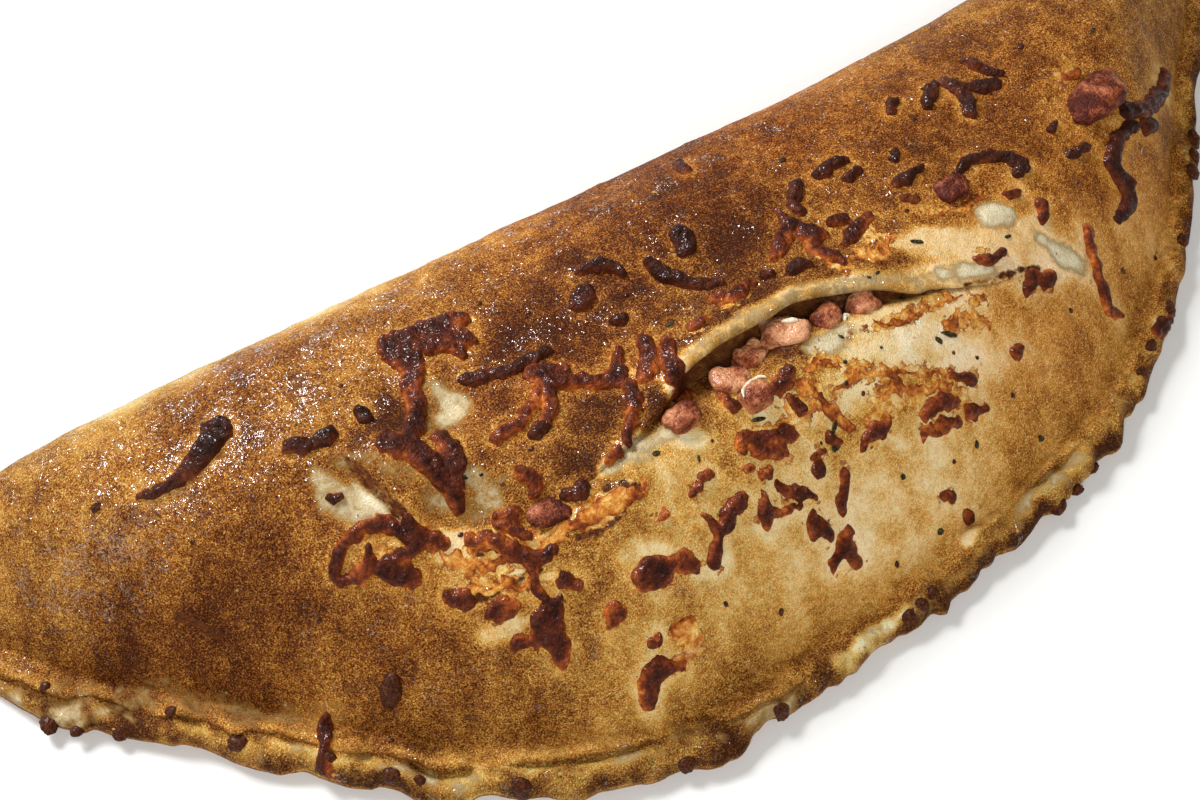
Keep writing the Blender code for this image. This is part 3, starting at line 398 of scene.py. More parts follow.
# Browned shreds are a dark red-brown.
BROWNED = (
    ((-56.5, 24.2, 6), (-52, 24.2, 5.2), (-48, 23.8, 5.6), (-44, 23.6, 4.4), (-41.2, 23.4, 2.4)),
    ((-50, 22, 6.4), (-46.5, 20.6, 7.2), (-43.5, 19, 4.6)),
    ((-46.5, 20, 4), (-46.2, 16, 2.4)),
    ((-56, 23, 6.2), (-55.4, 18.5, 5), (-57.6, 14, 4.2), (-59.2, 9.4, 3.8), (-61.6, 5.4, 3.6),
     (-64, 3, 3.4)),
    ((-67.2, 4.4, 5.2), (-64.4, 0.4, 5.2), (-62, -4, 5), (-60.6, -8, 3.8), (-61.2, -11.2, 2)),
    ((-58.4, 1, 3.2), (-57.8, -3, 4.2), (-59.8, -6.6, 4.4)),
    ((-37.2, 5.4, 3.6), (-34, 3.4, 6), (-31, 0.8, 4), (-27, -1.6, 3.4), (-23, -2.6, 3.8)),
    ((-23, -2.6, 3.6), (-21.4, 0.4, 2.4), (-20, 3.2, 1.6)),
    ((-35.4, 1.8, 4), (-37.6, -3, 3.2), (-39.6, -5.6, 2.2)),
    ((-49.4, -3.6, 2.6), (-45, -3, 2.8), (-41, -1, 2.4), (-38, 1.4, 2.2)),
    ((-22, -5.6, 3), (-23.4, -9, 3.2), (-25.6, -12, 2.6), (-28.6, -14.8, 2)),
    ((-32.6, -16.8, 2.2), (-31.4, -16.2, 2.4)),
    ((-14.8, 1.6, 3.2), (-16.4, -2.4, 4), (-18.6, -5.4, 3)),
    ((-11.6, -0.6, 2.2), (-13, -4.4, 3.6), (-14, -8.4, 4.6)),
    ((-14.2, -8.8, 3.6), (-11.8, -10.4, 2)),
    ((-6.2, -1, 2.2), (-4.4, -1.2, 2.2)),
    ((0.6, 2, 2.4), (3.2, 0.8, 3.2), (6, 1.6, 2.4), (8.4, 2, 1.8)),
    ((22, 14.4, 2), (22.8, 11, 3), (24.8, 8, 4), (27.6, 5.8, 2)),
    ((22.4, 10.6, 3), (19.8, 9, 3.4), (17, 6.4, 3), (15.4, 4.6, 1.4)),
    ((24.4, 7, 3.4), (23.8, 3.4, 3.2), (25.6, 0.4, 3), (26.2, -1.8, 1.8)),
    ((30.8, 8.2, 2.8), (33, 7.8, 3)),
    ((30.4, 2.8, 2.4), (33.6, 4.4, 3.2), (37.2, 6, 2.4)),
    ((67, 1.2, 2), (69.6, 1.2, 2.2)),
    ((72.2, -4.6, 2.6), (73.6, -2.4, 2.2)),
    ((95.8, 22.4, 1.8), (99, 22.6, 2)),
    ((82, -8.2, 2.6), (81, -12, 2.2), (80.4, -16, 2.4), (80.6, -19.4, 3), (83.6, -20.6, 1.4)),
    ((61.6, -15.6, 2.4), (64.4, -14, 2), (66.6, -15.2, 3), (68.6, -14.4, 2.2)),
    ((53.4, -9.3, 1.8), (56.2, -10, 2), (59.2, -9.4, 1.8)),
    ((53, -24.6, 1.8), (55, -24.4, 2)),
    ((-76, -6.4, 2.2), (-80, -5.6, 2.2), (-84.2, -6.6, 2.4), (-85.6, -8.6, 2), (-83.4, -10.6, 2.4),
     (-80.4, -10.8, 2.4), (-78.8, -9.2, 1.4)),
    ((-79.6, -5.8, 2.6), (-75.4, -6.8, 3), (-72, -9.4, 3), (-69.2, -12.6, 3.2), (-66.4, -15.2, 2)),
    ((-78, -12.6, 3.4), (-75.6, -14, 4.4), (-74, -16.2, 3)),
    ((-73.8, -13, 2.4), (-71, -13, 2.6)),
    ((-69, -22.2, 2.4), (-66.4, -23.6, 3.2)),
    ((-64, -27.2, 2.2), (-61.8, -27.8, 3), (-59.6, -28.8, 1.8)),
    ((-57.6, -32.6, 2.6), (-54.8, -33.6, 4.6), (-52.2, -31.8, 2.6)),
    ((-54.8, -33, 4.6), (-54.6, -37.2, 4)),
    ((-61.4, -32.6, 1.8), (-59.4, -33.8, 2.2), (-56.6, -33.8, 2.2)),
    ((-50.2, -29.4, 2), (-48, -30.8, 2)),
    ((-53.6, -25, 2.6), (-54.6, -28.6, 1.6), (-53.4, -31.6, 1.8)),
    ((-44.8, -37.8, 2.6), (-43, -37.8, 2.8)),
    ((-36.6, -35, 3.6), (-34.8, -35.6, 4.8), (-32.4, -35.8, 3.8), (-30.5, -35.7, 2.2), (-28.4, -36.2, 3.4),
     (-26.8, -36.9, 3)),
    ((-11.8, -30.6, 1.3), (-14.4, -31.7, 2.4), (-17, -32.8, 2.8), (-19.7, -34.6, 2.2), (-22.6, -37.7, 2.6)),
    ((-20.8, -31.2, 1.5), (-19.6, -34, 2)),
    ((-42.6, -48, 4.2), (-41, -46.8, 3.2), (-37.4, -46.9, 1.8), (-34.4, -47.6, 1.1)),
    ((-8.4, -23.4, 3.2), (-6.4, -24.2, 4.2), (-4.2, -25.6, 3.8), (-2.4, -27, 3.4)),
    ((-3.4, -24.4, 2), (-0.8, -24.8, 2.4), (1.3, -25.2, 3)),
    ((-7, -29.1, 1.9), (-5.9, -29.2, 1.8)),
    ((-9.7, -27.3, 1.8), (-9, -27.5, 1.8)),
    ((4, -20.8, 2), (4.6, -22.8, 2.2)),
    ((-8.4, -31.8, 1.3), (-9.2, -33.8, 2.6), (-10.2, -35.6, 2.6)),
    ((-9, -34.7, 1.8), (-6.3, -34.7, 1.5), (-2.6, -34.9, 0.8)),
    ((-4.8, -31.2, 1.7), (-2.2, -33.1, 2), (1.2, -34.9, 1.2)),
    ((-0.5, -38.2, 3.6), (0.8, -38.5, 3.6)),
    ((5.8, -40.4, 1.8), (3.4, -42, 2.4), (0.6, -43.6, 2)),
    ((3.6, -41.8, 2.4), (6, -44, 2.4)),
    ((8.8, -33.2, 2), (7.6, -35, 2.2), (6.2, -37, 2)),
    ((2.8, -31.6, 1.6), (4.8, -31.4, 1.8)),
    ((4, -29.6, 1.4), (6, -29.6, 1.4)),
    ((14, -31, 1.4), (16.8, -29.6, 2.4), (20.4, -29.2, 2.2)),
    ((29, -29.6, 1.8), (32.6, -28.8, 2.4), (36.6, -29.2, 1.8)),
    ((27, -32, 1.4), (31.6, -31.8, 1.9), (36.6, -31.8, 1.2)),
    ((38.4, -31, 1.4), (42.4, -31.2, 1.8)),
    ((37.4, -25.4, 1.6), (40, -26.6, 2.2), (42, -26.6, 1.8)),
    ((8.2, -28.2, 1.6), (9.6, -28.8, 1.8)),
    ((28, -40.4, 1.4), (29.8, -40.8, 1.6)),
    ((32.2, -43.6, 1.6), (33.6, -43.8, 1.6)),
    ((-18.8, -26.2, 1.6), (-17, -25.6, 1.8)),
    ((-21.2, -27.8, 1.6), (-20, -27.2, 1.6)),
    ((-29.2, -28.8, 1.6), (-27.8, -28.4, 1.6)),
    ((-38.8, -43.6, 1.6), (-37.4, -43.4, 1.4)),
    ((-62.4, -16.2, 1.8), (-58.6, -18.4, 2.6), (-56.2, -21.2, 2.6), (-53.4, -23.8, 2.4),
     (-49.6, -25.2, 1.6)),
    ((-56.2, -16.8, 1.4), (-54.2, -18.8, 2.2), (-51.6, -20.8, 1.4)),
    ((-49, -11.6, 2.4), (-46.6, -13.4, 3.2), (-48, -15.4, 2)),
    ((-55.6, -16, 1.8), (-52.4, -17, 2.2)),
    ((-7.8, -14.8, 2.4), (-7, -17.8, 3)),
    ((2.4, -18.2, 3), (4.4, -17.2, 3.4), (6.2, -16.4, 2.6)),
    ((-96.8, -21.4, 3.2), (-98.8, -25.4, 2), (-100.6, -28.6, 3.6)),
    ((90.8, -25.2, 2.6), (94.4, -24.2, 3.2), (98, -22.4, 2.4)),
)
# Melted cheese is thin and golden, with browner edges.
MELTED = (
    ((-62.4, -17.8, 1.5), (-58.4, -19.4, 1.7), (-56, -22, 1.9), (-52.6, -24, 2), (-48.4, -24, 1.9)),
    ((-48.4, -24, 1.9), (-44, -23.6, 2.7), (-38, -24, 3.5), (-33, -24.2, 3.1), (-29.4, -23.6, 1.5)),
    ((-66, -23.4, 1.2), (-61, -24.6, 1.6), (-56.4, -26.4, 1.4), (-52.4, -26, 1.4)),
    ((-67.6, -14, 1.5), (-66.2, -18, 1.9), (-62.2, -21, 2), (-58, -23, 1.6)),
    ((5, -18.6, 1.9), (8, -20.6, 2.6), (10.4, -24, 2), (13.4, -27.4, 1.6)),
    ((9, -17.6, 1), (12.6, -17.4, 1.4), (15, -18.2, 1)),
    ((12.4, -22.2, 1.1), (15.4, -21.4, 1.1), (18.6, -20.6, 1.4), (22, -22, 1.6), (25.6, -24, 1.4)),
    ((20.4, -25.8, 1.4), (24.6, -25.2, 1.7), (29, -26.4, 1.4), (34, -27, 1.2), (37.6, -26.8, 1.1)),
    ((26.4, -22.8, 1), (31, -24, 1.1), (35.8, -24.8, 0.9)),
    ((26.6, -14.6, 0.9), (29.4, -14.8, 1.3), (33.4, -15.2, 1.3), (37, -14.4, 1), (42, -14, 1),
     (46.6, -14.4, 0.9)),
    ((41, -18.2, 1.2), (44, -18, 1.4)),
    ((46.8, -18.2, 1.4), (49.4, -19.6, 1.2)),
    ((48.4, -15.4, 1), (51, -16.4, 0.9)),
    ((30.4, -0.4, 1.4), (35.6, -2.6, 1.6), (38.6, 0.2, 1.4)),
    ((50.2, 2.4, 1.4), (53, 1.4, 1.5), (58.6, 1.4, 1.4), (61.2, 2.8, 1.4)),
    ((-34, -43.6, 2.2), (-31.4, -44.4, 3.4), (-30.4, -45.6, 2.2)),
)

# ---------------------------------------------------------------- colours of the crust, and what lies on it

# Browning runs from 0, cream dough, to 1, burnt. Spots add to the base: x, y, reach x, reach y, amount.
BROWNING_BASE = 0.62
BROWNING = (
    (-5, 14, 52, 13, 0.2), (10, 8, 26, 8, 0.08), (75, 27, 26, 10, 0.06), (-60, 45, 60, 9, -0.2),
    (30, 47, 50, 9, -0.12), (-122, 36, 12, 9, -0.07), (-112, 5, 22, 9, 0.16), (-95, -6, 16, 10, 0.16),
    (-88, -20, 12, 9, 0.1), (-75, -32, 12, 8, 0.1), (-60, -40, 10, 7, 0.04), (-20, -32, 18, 9, -0.22),
    (-25, -20, 10, 5, -0.28), (5, -42, 22, 8, -0.22), (22, -35, 18, 8, -0.28), (-40, -45, 14, 7, -0.12),
    (38, -20, 16, 6, -0.42), (25, -17, 14, 4, -0.22), (58, -8, 12, 5, -0.42), (74, -12, 8, 4, -0.3),
    (52, -24, 14, 6, -0.2), (60, -35, 22, 10, -0.14), (-78, 2, 5, 6, -0.12), (-54, 7, 6, 6, -0.2),
    (-28, -7, 9, 5, 0.24), (-65, 11, 7, 4, 0.22), (-35, 12, 22, 7, 0.12), (15, 40, 48, 13, 0.16),
    (15, 13, 12, 5, 0.1), (-115, -4, 12, 8, 0.06), (62, -3, 8, 5, -0.14), (84, 40, 16, 8, 0.1),
    (36, -38, 10, 6, -0.1), (-60, 24, 12, 6, -0.08), (85, -20, 14, 12, -0.08), (105, 0, 14, 10, -0.05),
    (124, 20, 12, 9, -0.08), (-15, -54, 30, 4, 0.06), (45, 2, 10, 5, -0.18), (36, 10, 9, 6, -0.1),
    (-68, -12, 6, 4, -0.12), (-62, -22, 7, 4, -0.15), (94, 20, 9, 7, -0.15), (-75, 49, 35, 6, -0.14),
    (-90, 30, 22, 7, 0.08), (-52, 0, 14, 14, 0.12), (-30, 0, 14, 10, 0.06), (-14, 18, 10, 8, 0.08),
    (-10, 0, 8, 8, 0.08), (72, -6, 8, 10, -0.1), (105, -8, 12, 10, -0.12), (122, 24, 8, 5, -0.08),
    (0, -46, 26, 6, -0.08), (20, -45, 6, 5, -0.08), (-40, -38, 5, 5, 0.12), (-60, -35, 5, 4, 0.12),
    (-92, -36, 8, 5, 0.08), (-20, -22, 6, 4, -0.08), (0, -30, 5, 4, -0.08), (-110, -18, 6, 6, 0.08),
    (-128, 5, 10, 8, 0.09), (5, -40, 42, 12, -0.08), (-132, 9, 14, 12, 0.07), (-60, 2, 6, 14, 0.14),
    (-42, -13, 10, 6, 0.12), (-12, 22, 10, 6, 0.06), (-105, 46, 10, 6, -0.14), (56, 46, 12, 6, -0.09),
    (5, 50, 25, 4, 0.09), (102, -10, 12, 10, -0.08), (-70, -18, 5, 4, -0.1), (74, -14, 8, 6, -0.1),
    (0, -30, 6, 4, -0.08), (10, 24, 14, 8, 0.05), (45, -25, 20, 8, -0.05), (-98, 43, 14, 8, -0.13),
    (-55, 47, 12, 6, -0.12), (12, 49, 26, 4, 0.06), (60, 43, 14, 8, -0.06), (-68, 7, 14, 5, 0.13),
    (-130, 2, 8, 6, 0.09), (-60, -13, 6, 5, 0.12), (6, 1, 10, 4, 0.11), (-13, -9, 6, 5, 0.16),
    (8, -13.6, 5, 2.4, 0.26), (114, 0, 12, 10, -0.09), (90, -14, 12, 6, -0.07), (98, 31, 8, 8, 0.1),
    (-88, -4, 9, 8, -0.1), (-92, -34, 8, 5, 0.08), (4, -56, 12, 3, 0.14), (36, -38, 8, 6, -0.06),
    (-18, -45, 8, 4, -0.1), (34, -16, 12, 5, -0.08), (80, -30, 10, 8, -0.07), (48, -49, 10, 3, 0.09),
    (70, -5, 6, 4, -0.1), (-110, -16, 8, 6, 0.12), (-90, -36, 7, 5, 0.08), (-105, 45, 10, 6, -0.1),
    (-55, 48, 9, 5, -0.09), (4, -55, 8, 3, 0.14), (40, -50, 12, 3, 0.09), (70, 10, 12, 6, 0.09),
    (80, 25, 8, 6, 0.08), (110, 15, 9, 7, 0.09), (-50, 5, 5, 5, -0.12), (-80, -45, 5, 4, -0.14),
    (-20, -10, 6, 5, 0.2), (5, 46, 26, 4, 0.08), (4, -2, 12, 4, 0.14), (10, 48, 30, 5, 0.07),
    (-75, 40, 10, 8, 0.07), (-105, 48, 12, 5, -0.06), (-55, 48, 14, 4, -0.08), (-20, -12, 8, 5, 0.12),
    (40, 0, 12, 5, 0.09), (45, -15, 8, 3, -0.1), (72, -14, 10, 5, -0.08), (100, -12, 8, 6, -0.09),
    (84, -34, 8, 5, -0.12), (20, -44, 6, 5, -0.09), (-65, -50, 14, 5, -0.16), (-80, -44, 6, 4, -0.14),
    (60, 18, 10, 8, 0.07), (80, 15, 6, 6, 0.09), (-80, 10, 6, 5, 0.09), (-110, -12, 8, 5, 0.07),
    (-40, -18, 8, 4, 0.1), (8, -55, 6, 3, 0.12), (-5, -4, 10, 3, 0.12), (-82, 38, 9, 8, 0.08),
    (-60, 48, 14, 4, -0.07), (5, 49, 26, 4, 0.07), (-28, -14, 8, 4, 0.11), (44, -15, 8, 3, -0.11),
    (70, -14, 12, 5, -0.08), (58, -12, 8, 4, -0.08), (30, -5, 14, 3, 0.08), (-96, -28, 8, 5, 0.07),
    (-78, -44, 8, 4, -0.12), (10, -55, 6, 3, 0.12), (-38, -55, 6, 3, -0.1), (0, -50, 6, 3, -0.08),
    (-40, -17, 6, 4, 0.07), (51, -15, 10, 4, -0.16), (34, -20, 12, 5, -0.08), (50, -4, 6, 4, 0.12),
    (-8, -4, 8, 4, 0.1), (-28, -16, 8, 4, 0.08), (7, -56, 8, 3, 0.1), (45, 50, 8, 4, -0.08),
    (-50, -49, 30, 4, -0.04),
)
# Pale dough shows along these runs: the flap's edge, the band below the slit, the torn strip, creases.
PALE_RUNS = (
    ((-16, -9.6, 0.8), (-13, -7, 1.8), (-5, -5.4, 2), (3, -4.9, 2.4), (8, -4.7, 2.2), (13, -4, 1.6),
     (20, -4.9, 2), (30, -7.2, 2.4), (38, -8.8, 3.6), (48, -10, 5), (60, -10, 5)),
    ((-35, -18.2, 2.4), (-28, -17.6, 3.6), (-20, -17, 3.6), (-14, -21, 2.6)),
    ((-2, -20.5, 4), (8, -23, 6), (16, -22, 9), (26, -18.5, 8), (36, -18.5, 8), (44, -18, 6),
     (50, -17.6, 3)),
    ((58, -3.6, 3), (62, -2.6, 5), (66, -4.4, 3)),
    ((38, -1.6, 2.6), (46, -3.6, 6), (54, -5.5, 6)),
    ((66, -8, 4), (72, -10.5, 5), (76, -13, 4)),
    ((-66, -16, 3), (-61, -19.5, 5), (-56, -24, 5)),
    ((13, -14.6, 2.6), (18, -13.8, 3.6), (26, -13, 3.6), (34, -13, 2.6)),
    ((56, -5, 4), (64, -6, 5), (70, -5, 4)),
    ((-66.4, -29, 1.4), (-61, -30.4, 1.8), (-57.4, -31.4, 1.2)),
    ((-59.2, -26.8, 1.4), (-57.4, -28, 1.6)),
    ((-38.4, -31.2, 1.6), (-34.6, -31.4, 3.2), (-30.6, -33.4, 1.8)),
    ((-27.6, -37.2, 1.2), (-23.6, -39.2, 1.4), (-19.6, -38.4, 1.2)),
    ((-12, -36, 1.6), (-4, -36.4, 2), (4, -38, 1.8)),
    ((30, -47, 1.2), (45, -45, 1.4), (58, -41.8, 1)),
    ((20, -31, 1), (25, -35, 1.4), (29, -41, 1.2)),
    ((-6, -56.4, 1.6), (2, -56, 2.2), (12, -53.4, 1.8)),
)
# Raw dough, torn open or stretched: whiteness from 0.3, olive, to 1, greyish white, then x, y, width.
RAW_RUNS = (
    (0.50, ((-13, -7, 1.2), (-5, -5.4, 1.4), (3, -4.9, 1.8), (8, -4.7, 1.6), (13, -4, 1))),
    (0.44, ((13, -4, 1), (20, -5, 1.6), (28, -6.8, 2), (36, -9, 2.8), (42, -9.8, 2.8))),
    (0.72, ((-81.6, 5.4, 2), (-80, 1.8, 4.4), (-77.4, -2.2, 4.6), (-74.6, -5.2, 3), (-71.6, -9, 1.2))),
    (1.00, ((-76, 1.4, 0.8), (-74.8, -2.4, 1.4), (-73.4, -5.6, 1.4), (-71.6, -8.8, 0.8))),
    (0.80, ((-53.8, 12, 2), (-53, 9.4, 4.4), (-52.8, 7, 5.2), (-56, 5.2, 3))),
    (0.34, ((-55, 15, 3), (-54, 9, 7), (-58, 4, 4))),
    (0.34, ((-76, 6, 3), (-70, 0, 3), (-65, -6, 4), (-60, -12, 5), (-54, -12, 5))),
    (0.60, ((-66.2, -7.4, 1.2), (-64.2, -9.2, 2.2), (-61.8, -10.8, 1.4))),
    (0.58, ((-57.4, -7, 1.6), (-55.6, -10.2, 3.2), (-54.4, -13, 2.6), (-57.8, -11.4, 1.6))),
    (0.75, ((-34, -18.4, 2), (-28, -17.6, 3), (-21, -17, 3))),
    (1.00, ((44.5, -9.8, 1.6), (48.6, -10.8, 2), (55, -11.6, 1.2))),
    (1.00, ((60.8, -2.6, 4.2), (63.4, -2.8, 5))),
    (0.95, ((69.6, -8.6, 1.2), (72.6, -11, 3), (76, -13.2, 1.8))),
    (0.84, ((12, -14.8, 2), (16, -14.8, 3.6), (20, -13.4, 3))),
    (0.30, ((-139, 13, 3), (-128, 4, 4), (-116, -6, 5), (-106, -15, 4), (-94, -22, 3))),
    (0.70, ((-139.4, 4.6, 1.2), (-137, 4.4, 1.8))),
)
# Thin dark lines: painted shade in the cuts of the short slits and of the main slit's shallow right end, and
# toasted threads of cheese.
LINES = (
    ((-75.4, 5.6, 0.2), (-74.4, 2, 0.4), (-72.8, -2.8, 0.5), (-71.2, -7.4, 0.5), (-69.6, -10.2, 0.3)),
    ((-113, 5, 0.2), (-110, 1.4, 0.4), (-107, -2, 0.2)),
    ((-63, -17.4, 0.8), (-61.4, -19.6, 1)),
    ((48.2, -13, 0.3), (53.2, -13.3, 0.4), (58, -13.1, 0.5), (62.6, -12.7, 0.4), (66.4, -13.2, 0.2)),
    ((-69.6, -20.8, 0.6), (-66.2, -23.8, 0.8), (-60.2, -25.4, 0.7), (-53.2, -26, 0.6)),
    ((-36, -21, 0.8), (-33, -21.8, 1.2), (-30.4, -23.6, 0.8)),
    ((-44.4, -25.6, 0.6), (-39, -26.4, 0.9), (-34.8, -26, 0.6)),
)
# Diced ham: x, y, length, width, height, turn in degrees, share of its height above the crust.
HAM = (
    (26.5, -9.2, 7.2, 5.8, 5.2, 0, 0.68), (18.4, -9.4, 6.2, 5.8, 5.4, 20, 0.56),
    (10, -8.8, 10.4, 7, 6.2, -35, 0.56), (1.8, -9, 6.6, 5.4, 5.2, 10, 0.56),
    (-4.6, -12.4, 8, 6.4, 5.6, -20, 0.56), (-2.4, -18.2, 6.6, 5.2, 4.8, 5, 0.6),
    (-16.6, -15.6, 7.6, 5.8, 4.6, 10, 0.5), (-46, -19, 9.8, 6, 3.6, 0, 0.36),
    (56.2, 5.6, 7.8, 5.8, 4.6, 0, 0.45), (98.6, 15.6, 18.6, 10.4, 7.4, 14, 0.48),
)
# How much darker than the others each dice is seared.
HAM_SEAR = (-0.05, 0.35, -0.3, 0.1, -0.15, 0.1, 0.2, 0.6, 0.6, 0.45)
# Sauce, and painted shade under the flap's rim, inside the slit.
SAUCE_AND_SHADE_RUNS = (
    ((-4, -7, 1.6), (2, -8, 4), (7, -8.8, 6), (13, -7.6, 4.4), (20, -8, 3.6), (26, -9, 2.4),
     (31, -10, 1.2)),
)
# Herb flakes, burnt crumbs and lumps: x, y, length, width, height, turn in degrees.
HERBS = (
    (43, -2.6, 3, 0.8, 0.4, -22), (31.4, -6.4, 1.3, 0.6, 0.3, 20), (29.2, -6.8, 0.9, 0.6, 0.3, -30),
    (40.4, -19.5, 3.4, 1, 0.5, -18), (37.6, -20, 1.6, 1, 0.4, -40), (34.9, -10.9, 1.4, 1.1, 0.5, -20),
    (-3.7, -21.2, 3, 0.8, 0.4, -12), (10, -26.7, 3, 0.9, 0.5, 45), (8.8, -29.4, 2.4, 1.1, 0.5, 20),
    (16.8, -18.7, 0.9, 0.7, 0.4, 0), (18.5, -14.4, 1.3, 0.6, 0.3, -50), (15.3, -21.8, 1, 0.8, 0.4, 0),
    (-9.2, 2.1, 2, 0.8, 0.4, 10), (-24.6, -19.4, 1.7, 1, 0.4, 0), (-58.2, -7.4, 1.5, 0.8, 0.4, -30),
    (31, 27.2, 1.8, 1, 0.4, 15), (48.2, 11.4, 1.3, 0.9, 0.4, 0), (62.2, -6.8, 1.6, 0.8, 0.4, 10),
    (67, 31.2, 1.4, 0.8, 0.4, 0), (108, 29.6, 1.8, 0.9, 0.4, 30), (54.2, -36.4, 1.5, 0.9, 0.4, 0),
    (38.6, -35.2, 1.3, 0.9, 0.4, 40), (25.6, -44, 1.6, 0.8, 0.4, 0), (-37.4, 25.4, 1.4, 0.8, 0.4, 20),
    (-17.6, -23, 1.2, 0.7, 0.3, 60), (20.4, -36.4, 1.2, 0.8, 0.3, 0),
)
CRUMBS = (
    (39.8, -22.4, 0.7, 0.6, 0.5, 0), (25, -18.6, 0.6, 0.5, 0.4, 0), (-13.8, -21.4, 0.7, 0.6, 0.4, 0),
    (17.9, -24, 0.9, 0.7, 0.5, 20), (6.2, -28.2, 0.6, 0.6, 0.4, 0), (-13, 12, 1.2, 0.9, 0.5, 30),
    (45.2, 4.4, 1.1, 0.8, 0.5, 0), (60.2, 24.4, 1.5, 1, 0.5, 10), (92.4, 33, 1.8, 1.2, 0.6, 20),
    (-118, 25, 2, 1.5, 0.6, 0), (-60.8, 4.2, 0.9, 0.7, 0.4, 0), (-55, -8.4, 0.8, 0.6, 0.4, 0),
    (-63, -15, 1.2, 0.8, 0.5, 0), (-52.4, -11.6, 0.9, 0.7, 0.4, 0), (-44.6, -8.6, 1, 0.7, 0.4, 0),
    (-69, 20.4, 1.1, 0.8, 0.4, 0), (-30.4, 18.6, 1, 0.8, 0.4, 0), (32.4, -36.6, 0.9, 0.6, 0.4, 0),
    (21.4, -11.4, 0.8, 0.5, 0.4, 0), (44.6, -24, 0.9, 0.7, 0.4, 0), (50, -30.4, 1, 0.8, 0.4, 0),
    (70.4, -20.2, 1.1, 0.8, 0.4, 0), (88.4, -14.2, 1.3, 1, 0.5, 0), (101, -10.4, 1.2, 0.9, 0.5, 0),
    (-87.4, -30.4, 1.3, 0.9, 0.5, 0), (-91, -11.2, 1, 0.8, 0.4, 0), (-105.4, 10.4, 1.1, 0.9, 0.5, 0),
    (-23, -43.2, 1, 0.8, 0.4, 0), (-12.4, -46.4, 1.2, 0.8, 0.4, 0), (14.4, -46, 1, 0.8, 0.4, 0),
)
# Browned lumps, nearly all at the lip's edge, as above.
LIP_LUMPS = (
    (-141.4, 6.4, 5, 3.6, 2.8, 60), (-137.6, 2, 2.8, 2.2, 1.6, 0), (-112.6, -16.4, 4, 3, 2.4, -50),
    (-99.2, -27.6, 3.2, 2.4, 2, -40), (-70.4, -50, 3.6, 2.6, 2, -30), (11.6, -55.4, 3.8, 2.6, 2.4, 20),
    (15, -54.4, 3, 2.2, 2, 0), (18, -53.6, 2.6, 2, 1.8, 0), (51.4, -48.4, 4, 2.8, 2.4, 30),
    (57.2, -46.6, 2.8, 2.2, 1.8, 0), (62.2, -44.4, 3, 2.2, 2, 20), (109.4, -8.6, 3.2, 2.4, 2, 50),
    (127.4, 12.2, 4, 2.8, 2.4, 60), (124.8, 8.6, 3.4, 2.4, 2, 50), (121, 4.4, 4, 2.8, 2.4, 50),
    (97.2, -21.4, 3.2, 2.4, 2, 40), (93.6, -23.4, 2.6, 2, 1.8, 0), (88, -27.4, 2.8, 2.2, 1.8, 30),
    (83, -31.4, 2.6, 2, 1.6, 0), (-139.4, 11.6, 2.4, 1.9, 1.5, 0), (-120.8, -5, 2.6, 2, 1.6, -40),
    (-90.6, -36.4, 3.4, 2.4, 1.8, -30), (-86.4, -39.6, 2.8, 2, 1.6, -30), (-41, -60.6, 3.4, 2.2, 1.8, -10),
    (-20, -60.2, 3.2, 2.2, 1.8, 0), (-131, -2.6, 2.8, 2, 1.6, -40), (-84.2, -25.6, 4.2, 4, 4.6, 0),
)
# White cheese threads that lie on the ham: runs of x, y, width.
THREADS = (
    ((-5, -17.8, 0.4), (-4.4, -16.5, 0.7), (-2.8, -15.4, 0.8), (-1, -14.8, 0.9), (0.7, -14.9, 0.7),
     (1.4, -15.4, 0.4)),
    ((9.4, -7.6, 0.6), (10.6, -8.1, 1), (11.8, -8.6, 0.8), (12.2, -8.8, 0.4)),
    ((21, -11.6, 0.6), (21.8, -10.6, 1.2), (22.6, -10.8, 0.6)),
)
# Thin toasted film of melted cheese, as spots.
FILM = (
    (24, -2.5, 6, 2.4, 0.45), (33.5, -1.6, 4.5, 2.6, 0.5), (3, -0.5, 5, 2.2, 0.36),
    (14, -17.5, 5, 2.4, 0.46), (5, -21.5, 5, 3.2, 0.48), (30, -14.6, 7, 1.6, 0.46), (42, -13, 5, 1.6, 0.42),
    (43, -18, 2.6, 1.4, 0.52), (48, -18.5, 2.2, 1.6, 0.5), (49, -15.5, 2.2, 1.4, 0.42),
    (18, -21.5, 6, 1.8, 0.46), (22, -27, 7, 2.4, 0.48), (33, -27, 8, 2.4, 0.5), (50, 2, 3, 1.8, 0.46),
    (55, -7.5, 5, 1.6, 0.34), (-62, -19.5, 7, 3.2, 0.2), (-54, -22.5, 5, 3, 0.26), (-38, -23, 8, 2.8, 0.62),
    (-66, -23, 5, 2.6, 0.3), (-51, -27.5, 3.6, 2.2, 0.46), (-32, -44.8, 3, 2.2, 0.58),
    (-3, -25.5, 6, 3.6, 0.32), (-33, 2, 7, 4, 0.36), (-20, -4, 4, 5, 0.36), (62, -15.5, 6, 2, 0.36),
    (-73, -11, 6, 4, 0.38), (36, 3.5, 4, 2.4, 0.4), (30, -20, 16, 8, 0.1), (-58, -18, 14, 9, 0.1),
)
# Where the brown is redder, as spots. The negative spot along the left ridge at (-85, 46) is a painted sheen
# that takes the red out there.
REDNESS_AND_SHEEN = (
    (20, 36, 90, 20, 0.75), (-35, 6, 26, 12, 0.45), (65, -15, 26, 14, 0.25), (-100, 20, 24, 12, 0.25),
    (100, 0, 20, 16, 0.35), (80, 0, 40, 25, 0.3), (56, -27, 22, 9, 0.4), (10, 50, 40, 7, 0.6),
    (20, -42, 30, 10, 0.25), (-85, 46, 40, 7, -0.45), (-75, -22, 26, 8, 0.25), (15, 50, 36, 6, 0.4),
    (-95, -4, 45, 20, 0.25), (-80, 37, 14, 9, 0.4), (45, 5, 70, 28, 0.15),
)
